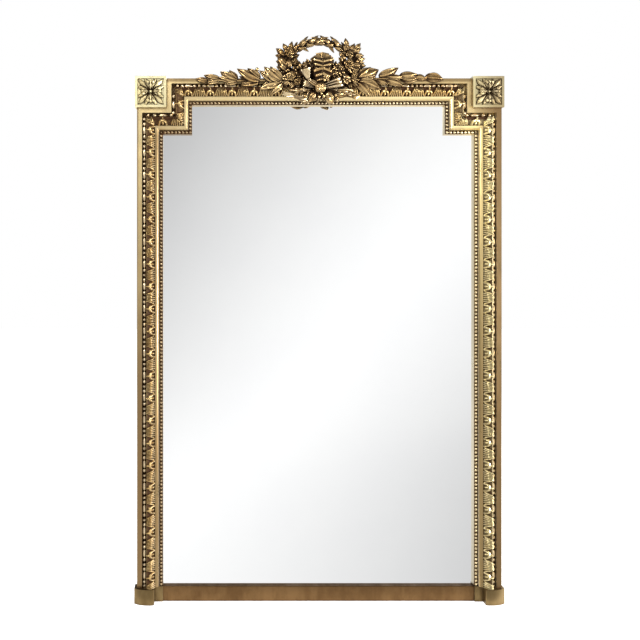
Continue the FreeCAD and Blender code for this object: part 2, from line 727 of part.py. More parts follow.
def quiver():
    body = new_body("quiver")
    side = new_sketch(body, "quiver_side", "XZ_Plane")
    outline(side, [("0", "0"), ("quiver_foot", "0"), ("quiver_foot + 2", "4"), ("quiver_foot", "8"),
                   ("quiver_mouth - 3", "quiver_long * 0.55"), ("quiver_mouth", "quiver_long * 0.6"),
                   ("quiver_mouth", "quiver_long * 0.68"), ("0", "quiver_long * 0.68")])
    turned = body.newObject("PartDesign::Revolution", "quiver_turned")
    turned.Profile = side
    turned.ReferenceAxis = (side, ["V_Axis"])
    turned.Angle = 360
    return place(body, str(QUIVER_FOOT[0]), "- " + QUIVER_OUT,
                 "frame_height - " + str(-QUIVER_FOOT[1]), Rotation(Vector(0, 1, 0), QUIVER_LEAN))


def arrow_feathers():
    """Flights of five arrows fanned out of the mouth of the quiver."""
    long, mouth = val("quiver_long"), val("quiver_mouth")
    shapes = []
    for k in (-2, -1, 0, 1, 2):
        blade = aimed(leaf(long * 0.5, mouth * 0.95, mouth * 0.5), k * mouth * 0.34, 0, long * 0.66, 90 - 9 * k)
        shapes.append(blade)
    whole = joined(shapes)
    whole.Placement = doc.getObject("quiver").Placement
    return solid_piece("arrow_feathers", whole.cut(doc.getObject("quiver").Shape))


# Ribbon: each loop as its middle, half length, half height and lean; each tail as points along its middle.
LOOPS = [(33, -31, 26, 12, 12), (-36, -33, 24, 12, -10)]
TAILS = [[(6, -46), (34, -58), (62, -56), (96, -70), (120, -66)],
         [(-12, -46), (-38, -60), (-64, -58), (-92, -70), (-112, -64)]]
KNOT = (-2, -40)
TAIL_WIDTH = 14


def ribbon_bow():
    front = -val("carcass_depth + " + LEAF_CREST)
    top, thick = val("frame_height"), val("ribbon_thick")
    shapes = []
    for x, z, half, rise, lean in LOOPS:
        outer = Part.Face(Part.Wire(Part.Ellipse(Vector(), half, rise).toShape()))
        inner = Part.Face(Part.Wire(Part.Ellipse(Vector(), half * 0.62, rise * 0.45).toShape()))
        loop = outer.cut(inner).extrude(Vector(0, 0, thick))
        loop.Placement = Placement(Vector(x, front, top + z), Rotation(Vector(1, 0, 0), 90))
        loop.rotate(Vector(x, front, top + z), Vector(0, 1, 0), -lean)
        shapes.append(loop)
    for points in TAILS:
        upper = Part.BSplineCurve()
        upper.interpolate([Vector(x, front, top + z + TAIL_WIDTH / 2) for x, z in points])
        lower = Part.BSplineCurve()
        lower.interpolate([Vector(x, front, top + z - TAIL_WIDTH / 2) for x, z in points])
        edges = [upper.toShape(), Part.makeLine(upper.EndPoint, lower.EndPoint), lower.toShape(),
                 Part.makeLine(lower.StartPoint, upper.StartPoint)]
        shapes.append(Part.Face(Part.Wire(Part.__sortEdges__(edges))).extrude(Vector(0, -thick, 0)))
    knot = Part.makeCylinder(15, thick * 2.4, Vector(KNOT[0], front, top + KNOT[1]), Vector(0, -1, 0))
    shapes.append(knot)
    return solid_piece("ribbon_bow", joined(shapes).cut(doc.getObject("quiver").Shape))


# Left laurel spray: the stem's ends and each leaf as its root and tip, from the middle of the top edge.
STEM = [(-118, -6), (-200, -5), (-280, -6), (-330, -8)]
SPRAY_LEAVES = [
    ((-324, -7), (-371, -6)), ((-300, -4), (-347, 18)), ((-296, -8), (-336, -22)), ((-262, -3), (-302, 28)),
    ((-256, -8), (-296, -23)), ((-222, -3), (-258, 36)), ((-216, -8), (-255, -23)), ((-182, -3), (-214, 34)),
    ((-176, -8), (-213, -23)), ((-148, -3), (-174, 40)), ((-140, -8), (-174, -23)),
]


def laurel_spray():
    top, thick = val("frame_height"), val("spray_thick")
    y = -val("carcass_depth + flat_height") - thick * ACROSS_FLATS
    spots = [Vector(x, y, top + z) for x, z in STEM]
    headings = [b - a for a, b in zip(spots, spots[1:])]
    shapes = [rod(spots, headings + headings[-1:], thick)]
    for root, tip in SPRAY_LEAVES:
        shapes.append(spanning_leaf((root[0], top + root[1]), (tip[0], top + tip[1]), 19, 6, y, 4))
    return solid_piece("laurel_spray_left", joined(shapes))


# Ironwork behind: hanging plates with swinging rings, and angle irons that stay the crest.
STRAP_X = "( - frame_width / 2 + ( carcass_width - rebate_width ) / 2 )"


def hanging_plate():
    body = new_body("hanging_plate_blank")
    face = new_sketch(body, "strap_face", "XZ_Plane")
    outline(face, box_points("- strap_width / 2", "strap_width / 2", "- strap_long", EYE_RADIUS))
    pad(body, face, "strap_thick", reverse=True)
    eye = new_sketch(body, "strap_eye", "YZ_Plane")
    ring_line(eye, EYE_OUT, "0", EYE_RADIUS)
    pad(body, eye, "eye_width", centred=True)
    hole = new_sketch(body, "strap_hole", "YZ_Plane")
    ring_line(hole, EYE_OUT, "0", EYE_HOLE)
    pocket(body, hole, "strap_width * 2", centred=True)
    return place(body, STRAP_X, "0", "strap_height")


def hanging_ring(label, side):
    ring = doc.addObject("Part::Torus", label)
    ring.Label = label
    ring.setExpression("Radius1", named("ring_radius"))
    ring.setExpression("Radius2", named("ring_wire"))
    return place(ring, STRAP_X if side < 0 else "- " + STRAP_X, EYE_OUT, "strap_height - ring_radius",
                 Rotation(Vector(1, 0, 0), 90))


def plate_screw_places():
    x, y, z = val(STRAP_X), val("strap_thick"), val("strap_height")
    long = val("strap_long")
    return [(side * x, y, z - long * share) for side in (-1, 1) for share in (0.25, 0.6, 0.88)]


def angle_irons():
    body = new_body("angle_iron_blank")
    end = new_sketch(body, "iron_end", "YZ_Plane")
    back = "- crest_board_inset"
    outline(end, [(back, "0"), (back + " + iron_leg", "0"), (back + " + iron_leg", "iron_thick"),
                  (back + " + iron_thick", "iron_thick"), (back + " + iron_thick", "iron_rise"),
                  (back, "iron_rise")])
    pad(body, end, "iron_width", centred=True)
    return place(body, "- iron_place", "0", "frame_height")


def iron_screw_places():
    x, top, thick = val("iron_place"), val("frame_height"), val("iron_thick")
    back = -val("crest_board_inset") + thick
    flat, upright = [], []
    for side in (-1, 1):
        flat.append((side * x, back + (val("iron_leg") - thick) / 2, top + thick))
        upright.append((side * x, back, top + val("iron_rise") * 0.35))
    return flat, upright


def build():
    back_places, plate_places = back_screw_places(), plate_screw_places()
    flat, upright = iron_screw_places()
    down = Rotation(Vector(1, 0, 0), 90)
    play = val("screw_play")

    def screw_set(label, spare):
        if label == "back":
            return Part.makeCompound(screws_at(back_places, spare))
        if label == "plate":
            return Part.makeCompound(screws_at(plate_places, spare))
        return Part.makeCompound(screws_at(upright, spare) + screws_at(flat, spare, down))

    pilots = {kind: solid_piece(kind + "_pilots", screw_set(kind, play)) for kind in ("back", "plate", "iron")}
    all_pilots = solid_piece("all_pilots", Part.makeCompound([p.Shape for p in pilots.values()]))

    left = less("carcass_stile_left", carcass_stile(), all_pilots)
    top_blank = carcass_rail("carcass_rail_top_blank", "( frame_height - carcass_width )", "frame_height",
                             "frame_height - carcass_width", REBATE_TOP)
    top_rail_mortises(top_blank)
    foot_blank = carcass_rail("carcass_rail_foot_blank", "0", "lower_carcass", REBATE_FOOT, "lower_carcass")
    nodes.extend([left, mirrored("carcass_stile_right", left), less("carcass_rail_top", top_blank, all_pilots),
                  less("carcass_rail_bottom", foot_blank, all_pilots)])

    for run, label in (("stile", "moulding_stile_left"), ("step_rail", "step_rail_left"),
                       ("step_stile", "step_stile_left")):
        piece = moulding(run, label)
        nodes.extend([piece, mirrored(label.replace("left", "right"), piece)])
    nodes.append(moulding("top", "moulding_top"))
    nodes.extend(carved_strips("pearl_beading", bead_strip))
    nodes.extend(carved_strips("bead_and_reel", reel_strip))
    nodes.extend(carved_strips("leaf_moulding", leaf_strip))

    nodes.append(lower_rail())
    for piece in (plinth(), corner_block(), patera()):
        nodes.extend([piece, mirrored(piece.Label.replace("left", "right"), piece)])
    nodes.extend([mirror_glass(), glazing_blocks()])

    left = less("back_stile_left", back_stile(), pilots["back"])
    nodes.extend([left, mirrored("back_stile_right", left)])
    for label, low, above, below in (("back_rail_top", RAIL_HIGH, False, True),
                                     ("back_rail_middle", RAIL_MIDDLE, True, True),
                                     ("back_rail_bottom", RAIL_LOW, True, False)):
        nodes.append(less(label, back_rail(label + "_blank", low, above, below), pilots["back"]))
    nodes.append(back_panel("back_panel_upper", RAIL_MIDDLE, RAIL_HIGH))
    nodes.append(back_panel("back_panel_lower", RAIL_LOW, RAIL_MIDDLE))
    nodes.append(solid_piece("back_screws", screw_set("back", 0)))

    arrows = quiver()
    doc.recompute()
    nodes.extend([arrows, arrow_feathers()])
    nodes.append(less("crest_board", crest_board(), pilots["iron"]))
    ring = wreath()
    bow = ribbon_bow()
    over = Part.makeCompound([ring.Shape, bow.Shape])
    left_roses = roses("roses_left", ROSES_LEFT, over)
    right_roses = roses("roses_right", ROSES_RIGHT, over)
    nodes.append(less("crest_boss", crest_boss(), arrows))
    spray = laurel_spray()
    nodes.extend([ring, bow, left_roses, right_roses, spray, mirrored("laurel_spray_right", spray)])

    left = less("angle_iron_left", angle_irons(), pilots["iron"])
    nodes.extend([left, mirrored("angle_iron_right", left)])
    nodes.append(solid_piece("iron_screws", screw_set("iron", 0)))
    left = less("hanging_plate_left", hanging_plate(), pilots["plate"])
    nodes.extend([left, mirrored("hanging_plate_right", left)])
    nodes.append(solid_piece("plate_screws", screw_set("plate", 0)))
    nodes.extend([hanging_ring("hanging_ring_left", -1), hanging_ring("hanging_ring_right", 1)])


build()
doc.recompute()
for item in doc.Objects:
    if "Invalid" in item.State or "Error" in item.State:
        raise RuntimeError(f"{item.Label} did not build: {item.State}")
os.makedirs("parts", exist_ok=True)
for node in nodes:
    if node.Shape.isNull() or not node.Shape.isValid() or not node.Shape.Solids:
        raise RuntimeError(f"{node.Label} has no sound solid")
    node.Shape.exportStep(f"parts/{node.Label}.step")
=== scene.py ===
"""Gilt overmantel mirror: carved mouldings, corner paterae, flowered crest, plate and panelled back."""

import bmesh
import bpy
import numpy as np
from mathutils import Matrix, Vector
from numpy import cos, pi, radians, sin


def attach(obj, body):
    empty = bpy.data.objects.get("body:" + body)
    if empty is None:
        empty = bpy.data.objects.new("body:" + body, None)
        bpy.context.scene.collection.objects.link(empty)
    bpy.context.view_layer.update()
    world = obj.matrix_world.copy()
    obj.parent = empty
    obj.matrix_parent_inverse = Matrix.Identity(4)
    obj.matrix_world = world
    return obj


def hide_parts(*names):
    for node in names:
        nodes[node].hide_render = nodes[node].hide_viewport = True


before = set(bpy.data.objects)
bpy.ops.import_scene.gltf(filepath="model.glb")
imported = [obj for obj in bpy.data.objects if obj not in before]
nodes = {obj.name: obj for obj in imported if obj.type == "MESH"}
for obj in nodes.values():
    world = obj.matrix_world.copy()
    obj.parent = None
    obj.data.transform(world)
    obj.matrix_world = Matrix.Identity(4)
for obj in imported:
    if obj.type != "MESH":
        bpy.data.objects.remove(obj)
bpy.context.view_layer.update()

# Sizes of the frame in millimetres, as in the CAD model: X to the right, Y into the wall, Z up
HALF_WIDTH, HEIGHT, STEP, PLINTH = 547.0, 1575.0, 88.0, 46.0
CARCASS = 30.0
FLAT_END, CHANNEL_END, LEAF_END, ROLL_END, PEARL_END = 15.0, 28.0, 52.0, 66.0, 77.0
CHANNEL_FLOOR, PEARL_BED, BLOCK_FACE = 12.0, 11.0, 33.0
MILLIMETRE = 0.001
FRONT = np.array((0.0, -1.0, 0.0))
UP = np.array((0.0, 0.0, 1.0))


def unit(v):
    v = np.asarray(v, float)
    return v / max(np.linalg.norm(v), 1e-9)


def unit_rows(rows):
    return rows / np.linalg.norm(rows, axis=1)[:, None]


def step(low, high, x):
    """0 up to low and 1 from high, with a soft rise between."""
    t = np.clip((x - low) / (high - low), 0.0, 1.0)
    return t * t * (3 - 2 * t)


def bell(x, width):
    return np.exp(-(x / width) ** 2)


def rounded(v):
    """Half circle across a sheet: 1 in its middle and 0 at its edges."""
    return np.sqrt(np.clip(1 - v ** 2, 0, 1))


def by(way, amount):
    """A way times an amount for each point."""
    return way * amount[..., None]


def turns(sides):
    """Angles of the points round a ring."""
    return np.linspace(0, 2 * pi, sides, endpoint=False)


def walked(points):
    """Distance walked along a line of points."""
    return np.concatenate([[0], np.cumsum(np.linalg.norm(np.diff(points, axis=0), axis=1))])


def grid(rows, half, first=0.0, last=1.0):
    """Shares along a sheet, from first to last, and across it, from -1 to 1."""
    return np.meshgrid(np.linspace(first, last, rows), np.linspace(-1, 1, 2 * half + 1), indexing="ij")


def lie(base, tip, front):
    """Length from base to tip, and the ways along it, out of its face, as near front as can be, and aside."""
    length = np.linalg.norm(tip - base)
    along = (tip - base) / length
    face = unit(front - along * (along @ front))
    return length, along, face, np.cross(along, face)


def cross_axes(axis, hint):
    """Two directions square to an axis and to each other."""
    one = unit(np.cross(axis, hint))
    return one, np.cross(axis, one)


def round_rings(centre, axis, hint, radius, angle, along):
    """Rings round a straight axis, from the radius and the place along the axis of each point."""
    one, two = cross_axes(axis, hint)
    return (centre + by(one, radius * cos(angle)) + by(two, radius * sin(angle))
            + by(axis, along + 0 * angle))


def smooth(points, count):
    """Points spaced evenly along a soft curve through the ones given."""
    points = np.asarray(points, float)
    ends = np.concatenate([[2 * points[0] - points[1]], points, [2 * points[-1] - points[-2]]])
    out = []
    for t in np.linspace(0, len(points) - 1, count):
        i = min(int(t), len(points) - 2)
        f = t - i
        a, b, c, d = ends[i:i + 4]
        out.append(0.5 * (2 * b + (c - a) * f + (2 * a - 5 * b + 4 * c - d) * f ** 2
                          + (3 * b - a - 3 * c + d) * f ** 3))
    return np.array(out)


def new_object(name, points, faces, material, **values):
    """A mesh object in the scene, with named values for its points."""
    mesh = bpy.data.meshes.new(name)
    mesh.from_pydata(points, [], faces)
    for key, value in values.items():
        mesh.attributes.new(key, "FLOAT", "POINT").data.foreach_set("value", np.asarray(value, np.float32))
    mesh.materials.append(material)
    obj = bpy.data.objects.new(name, mesh)
    bpy.context.scene.collection.objects.link(obj)
    return obj


class Carving:
    """Skin of one carved piece in millimetres; cut sets its painted shade, up to 1 in deep hollows, and below
    0 a painted highlight on ridges.
    """

    def __init__(self):
        self.points, self.faces, self.cuts, self.count = [], [], [], 0

    def rings(self, rings, cut):
        """Closed skin through rings of points, with each end drawn together to its middle."""
        n, m, _ = rings.shape
        cut = np.broadcast_to(np.asarray(cut, float), (n, m))
        j = np.arange(m)
        k = (j + 1) % m
        i = np.arange(n - 1)[:, None] * m
        last = (n - 1) * m
        sides = np.stack([i + j, i + k, i + m + k, i + m + j], -1).reshape(-1, 4)
        start = np.stack([k, j, np.full(m, n * m)], -1)
        end = np.stack([last + j, last + k, np.full(m, n * m + 1)], -1)
        for faces in (sides, start, end):
            self.faces += (faces + self.count).tolist()
        self.points += [rings.reshape(-1, 3), rings[[0, -1]].mean(1)]
        self.cuts += [cut.ravel(), cut[[0, -1]].mean(1)]
        self.count += n * m + 2

    def sheet(self, top, under, cut, back):
        """Thin form between a face and a back, which meet at the edges; back is the cut behind, the painted
        shade on its back.
        """
        behind = np.full((len(top), top.shape[1] - 2), back)
        self.rings(np.concatenate([top, under[:, -2:0:-1]], 1), np.concatenate([cut, behind], 1))

    def piece(self, name, material, slot, *replaced):
        """The skin as a smooth mesh that rides the frame in place of its CAD node."""
        points = np.concatenate(self.points) * MILLIMETRE
        obj = new_object(name, points, self.faces, material, cut=np.concatenate(self.cuts))
        shell = bmesh.new()
        shell.from_mesh(obj.data)
        bmesh.ops.recalc_face_normals(shell, faces=shell.faces)
        shell.to_mesh(obj.data)
        shell.free()
        obj.data.shade_smooth()
        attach(obj, "frame")
        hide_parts(*replaced)


# Carved forms

def leaf(art, base, tip, width, front=FRONT, rise=0.10, droop=0.05, cup=0.22, ribs=1.5, relief=0.09, lobes=0,
         bite=0.35, thick=0.16, swell=0.75, rows=16, half=6, sway=0.0, tone=0.0, edge=0.4, shade=0.75):
    """A leaf from base to tip with ribs along it, cupped edges and, with lobes, a cut acanthus edge.

    rise, droop and sway are shares of its length; cup, relief and thick of its width. tone sets how dark it
    is as a whole; edge and shade set the painted shade at its edges and between its ribs, and the painted
    highlight on the ribs.
    It also gets painted shade at its foot and a painted highlight along its middle.
    """
    length, along, face, side = lie(base, tip, front)
    uu, vv = grid(rows, half, 0.015, 0.99)
    off = np.abs(vv)
    reach = 0.5 * width * (0.12 * (1 - uu) + sin(pi * uu ** swell) ** 0.85)
    detail = cos(2 * pi * ribs * off) if ribs else 0 * vv
    if lobes:
        phase = lobes * (uu - 0.04)
        reach = reach * (1 - bite * step(0.55, 1.0, phase % 1.0) * step(0.05, 0.2, uu))
        ridge = cos(2 * pi * (phase - 0.45 * off - 0.25))
        outer = step(0.15, 0.55, off)
        detail = detail * (1 - outer) + ridge * outer
    mound = width * (relief * detail + 0.05 * bell(vv, 0.14) - cup * off ** 1.8)
    lift = length * (rise * sin(pi * uu) - droop * uu ** 2)
    bend = length * sway * sin(pi * uu)
    top = (base + by(along, uu * length) + by(side, vv * reach + bend)
           + by(face, lift + mound * np.minimum(1, reach / (0.25 * width))))
    body = thick * width * rounded(vv) * np.minimum(1, reach / (0.2 * width))
    cut = (tone + 0.15 - shade * detail - 0.25 * bell(vv, 0.12) + 0.9 * bell(uu, 0.2)
           + edge * step(0.7, 1.0, off))
    art.sheet(top, top - by(face, body), cut, 1.0)


def ball(art, centre, radius, axis=FRONT, rows=8, sides=12, squash=1.0, cut=-0.5, rim=1.3):
    """A berry, pearl or button, with a painted highlight on the crown and painted shade round its sides."""
    a = np.linspace(-0.48, 0.48, rows)[:, None] * pi
    b = turns(sides)[None]
    slanting = (0.31, 0.2, 0.93)
    ring = round_rings(centre, axis, slanting, radius * cos(a), b, radius * squash * sin(a))
    art.rings(ring, cut + rim * step(0.85, 0.1, sin(a)) + 0 * b)


def tube(art, path, radius, sides=8, cut=0.1):
    """A rod along a path of points, with one radius or a radius for each point."""
    b = turns(sides)[:, None]
    ring = []
    for p, t, r in zip(path, unit_rows(np.gradient(path, axis=0)), np.broadcast_to(radius, len(path))):
        face = unit(FRONT - t * (FRONT @ t)) if abs(t @ FRONT) < 0.98 else unit(np.cross(t, (1, 0, 0)))
        ring.append(p + r * (cos(b) * np.cross(t, face) + sin(b) * face))
    art.rings(np.array(ring), cut)


def ribbon(art, path, across, width, fold, folds=2.0, cols=11, notch=0.0, tone=0.0):
    """A band of carved ribbon: its middle line, and at each point its way across, width and folds."""
    thick = 2.4
    across = unit_rows(across)
    tangent = unit_rows(np.gradient(path, axis=0))
    face = unit_rows(np.cross(across, tangent))
    face *= np.where(face @ FRONT < 0, -1, 1)[:, None]
    v = np.linspace(-1, 1, cols)
    wave = cos(pi * folds * v)[None] * fold[:, None]
    edge = 0.5 * np.abs(v)[None] ** 3 * thick
    top = path[:, None] + by(across[:, None], 0.5 * width[:, None] * v) + by(face[:, None], wave + edge)
    if notch:
        share = step(0.8, 1.0, np.linspace(0, 1, len(path)))[:, None] * (1 - np.abs(v))[None]
        top = top - by(tangent[:, None], notch * share)
    under = top - by(face[:, None], thick * (1 - 0.6 * v ** 2)[None])
    # Painted light and shade: lighter on the crests of the folds and at the edges, darker in the troughs.
    cut = tone - 0.6 * wave / max(0.6, np.abs(fold).max()) - 0.3 * np.abs(v)[None] ** 4
    art.sheet(top, under, cut, 0.7)


def rose(art, centre, radius, front, turn):
    """An open rose: whorls of lipped petals round a tight heart."""
    face = unit(front)
    one, two = cross_axes(face, UP)
    uu, vv = grid(6, 4)
    body = radius * 0.11 * rounded(vv)
    for number, (count, near, far, low, high, lip) in enumerate((
            (5, 0.15, 1.00, -0.10, 0.20, 0.20), (5, 0.10, 0.78, 0.02, 0.42, 0.16),
            (4, 0.06, 0.54, 0.12, 0.58, 0.10), (3, 0.02, 0.30, 0.22, 0.66, 0.03))):
        spread = (1.12 * pi / count) * (0.55 + 0.45 * sin(pi * (0.15 + 0.7 * uu)))
        out = radius * (near + (far - near) * uu * (1 - 0.16 * vv ** 2 + 0.06 * cos(3 * pi * vv)))
        rise = radius * (low + (high - low) * sin(0.5 * pi * uu) - lip * step(0.72, 1.0, uu)
                         + 0.10 * (1 - vv ** 2) * uu - 0.05 * bell(vv, 0.2) * uu)
        # Painted shade at the foot of each petal and along its sides, lighter towards its lip.
        cut = 0.75 - 1.25 * step(0.25, 0.85, uu) + 0.35 * np.abs(vv) ** 3
        for n in range(count):
            angle = turn + number * 0.7 + 2 * pi * n / count + vv * spread
            direction = by(one, cos(angle)) + by(two, sin(angle))
            top = centre + by(direction, out) + by(face, rise)
            art.sheet(top, top - by(face, body) - by(direction, 0.3 * body), cut, 1.0)
    ball(art, centre + face * radius * 0.42, radius * 0.17, face, rows=6, sides=10, cut=-0.1)


def daisy(art, centre, radius, petals, button=0.30, turn=0.0):
    """A small flat flower of rounded petals round a button."""
    one, two = cross_axes(FRONT, UP)
    for n in range(petals):
        a = turn + 2 * pi * n / petals
        out = cos(a) * one + sin(a) * two
        leaf(art, centre + out * radius * 0.12 + FRONT * radius * 0.05, centre + out * radius,
             2.5 * radius / petals ** 0.75, rise=0.22, droop=0.0, cup=0.02, ribs=0.5, relief=-0.12,
             swell=1.25, thick=0.30, rows=9, half=4)
    ball(art, centre + FRONT * radius * 0.18, radius * button, rows=6, sides=10)


def bud(art, base, tip, radius, ribs=6):
    """A ribbed bud with a collar of small leaves at its stalk."""
    length = np.linalg.norm(tip - base)
    axis = (tip - base) / length
    u = np.linspace(0.02, 0.99, 15)[:, None]
    b = turns(6 * ribs)[None]
    groove = 0.5 - 0.5 * cos(ribs * b)
    r = radius * sin(pi * u ** 0.72) ** 0.7 * (1 - 0.20 * groove ** 0.7)
    # Painted shade in the grooves and towards the tip.
    cut = -0.4 + 1.3 * groove + 0.5 * bell(u - 1, 0.15)
    art.rings(round_rings(base, axis, FRONT, r, b, length * u), cut)
    one, two = cross_axes(axis, FRONT)
    for a in turns(5) + 0.3:
        out = cos(a) * one + sin(a) * two
        leaf(art, base - axis * 0.06 * length + out * 0.25 * radius,
             base + axis * 0.48 * length + out * 1.18 * radius, 0.95 * radius, out - 0.2 * axis,
             cup=0.10, lobes=2, rows=10, half=3)


def flight(art, base, tip, foot, head, barbs, slant, ridge, depth, front=FRONT):
    """Two vanes of an arrow's feather, folded along the shaft, with raised barbs that slant outwards."""
    length, along, face, side = lie(base, tip, front)
    uu, vv = grid(49, 8)
    off = np.abs(vv)
    reach = 0.5 * (foot + (head - foot) * uu)
    place = uu * length + slant * off * reach
    comb = (step(0.31, 0.17, np.abs(((barbs * uu + 0.5) % 1.0) - 0.5)) * step(0.02, 0.14, off)
            * step(1.0, 0.9, off))
    shaft = bell(vv, 0.07)
    height = ridge * head * (1 - off ** 1.4) + depth * head * (comb - 0.35) + 0.05 * head * shaft
    flat = base + by(along, place) + by(side, vv * reach)
    # Painted shade between the barbs, lighter on the barbs and along the shaft.
    cut = 1.4 - (1.9 if barbs else 0.9) * comb - 0.6 * shaft
    art.sheet(flat + by(face, height), flat - by(face, 0.12 * head * rounded(vv)), cut, 0.9)


# Finishes

class Finish:
    """A procedural material with short names for the nodes that it is made of."""

    def __init__(self, name):
        self.material = bpy.data.materials.new(name)
        self.material.use_nodes = True
        self.tree = self.material.node_tree
        self.shader = self.tree.nodes["Principled BSDF"]

    def put(self, socket, value):
        if isinstance(value, bpy.types.NodeSocket):
            self.tree.links.new(value, socket)
        else:
            socket.default_value = value

    def node(self, kind, output, inputs=None, **settings):
        """Output of a new node, with values or links put into its inputs."""
        made = self.tree.nodes.new("ShaderNode" + kind)
        for key, value in settings.items():
            setattr(made, key, value)
        for key, value in (inputs or {}).items():
            self.put(made.inputs[key], value)
        return made.outputs[output]

    def parts(self, kind, output):
        """Separate X, Y and Z of a node's vector."""
        return self.node("SeparateXYZ", 0, {0: self.node(kind, output)}).node.outputs

    def noise(self, scale, detail, rough, stretch=(1, 1, 1), twist=0.0):
        place = self.node("Mapping", 0, {"Vector": self.node("TexCoord", "Object"), "Scale": stretch})
        return self.node("TexNoise", "Fac", {"Vector": place, "Scale": scale, "Detail": detail,
                                             "Roughness": rough, "Distortion": twist})

    def math(self, kind, a, b=0.0, c=0.0):
        return self.node("Math", 0, {0: a, 1: b, 2: c}, operation=kind)

    def times(self, a, b, plus=0.0):
        return self.math("MULTIPLY_ADD", a, b, plus)

    def but(self, a):
        """What is left of one."""
        return self.math("SUBTRACT", 1.0, a)

    def most(self, first, *others):
        for other in others:
            first = self.math("MAXIMUM", first, other)
        return first

    def span(self, value, low, high, to_low=0.0, to_high=1.0, soft=True):
        """The value moved from the range low to high into another, with soft or straight ends."""
        return self.node("MapRange", 0, {0: value, 1: low, 2: high, 3: to_low, 4: to_high},
                         interpolation_type="SMOOTHSTEP" if soft else "LINEAR")

    def mix(self, share, a, b):
        a, b = ((*colour, 1.0) if isinstance(colour, tuple) else colour for colour in (a, b))
        return self.node("Mix", 2, {0: share, 6: a, 7: b}, data_type="RGBA")

    def bump(self, height, strength, distance):
        self.set(Normal=self.node("Bump", 0, {"Height": height, "Strength": strength, "Distance": distance}))

    def set(self, **values):
        for key, value in values.items():
            self.put(self.shader.inputs[key.replace("_", " ")], value)
        return self.material


# Colours of the gilding: a brown for painted shade and for the darker outer sides, red bole, a pale painted
# highlight for the ridges, a pale gold for the inner side faces, and two lighter golds painted as light on
# the inner roll at the top and on the right.
SHADE_AND_TONE_BROWN, BOLE = (0.165, 0.095, 0.040), (0.26, 0.115, 0.045)
RIDGE_HIGHLIGHT, SIGHT_EDGE = (0.97, 0.83, 0.55), (0.96, 0.88, 0.68)
LIT_ROLL_TOP, LIT_ROLL_RIGHT = (0.98, 0.81, 0.46), (0.99, 0.77, 0.35)

# Zones of the gilding: an axis of the frame, and in metres where the zone softly starts and is full
BEHIND_FLAT = "Y", -0.0570, -0.0550
SUNK_BEDS = "Y", -0.0440, -0.0425
PEARL_FLOOR = "Y", -0.0418, -0.0412
TOP_RUN = "Z", 1.40, 1.44
TOP_ARRIS = "Z", 1.560, 1.569
FOOT_TO_TOP = "Z", 0.55, 1.52
LEFT_TO_RIGHT = "X", -0.50, 0.40
RIGHT_CARVING = "X", 0.38, 0.47
RIGHT_ROLL = "X", 0.40, 0.46
RIGHT_STILE = "X", 0.42, 0.54
OUTER_SIDES = 0.53, 0.54
OUTER_ARRIS = 0.5405, 0.5455


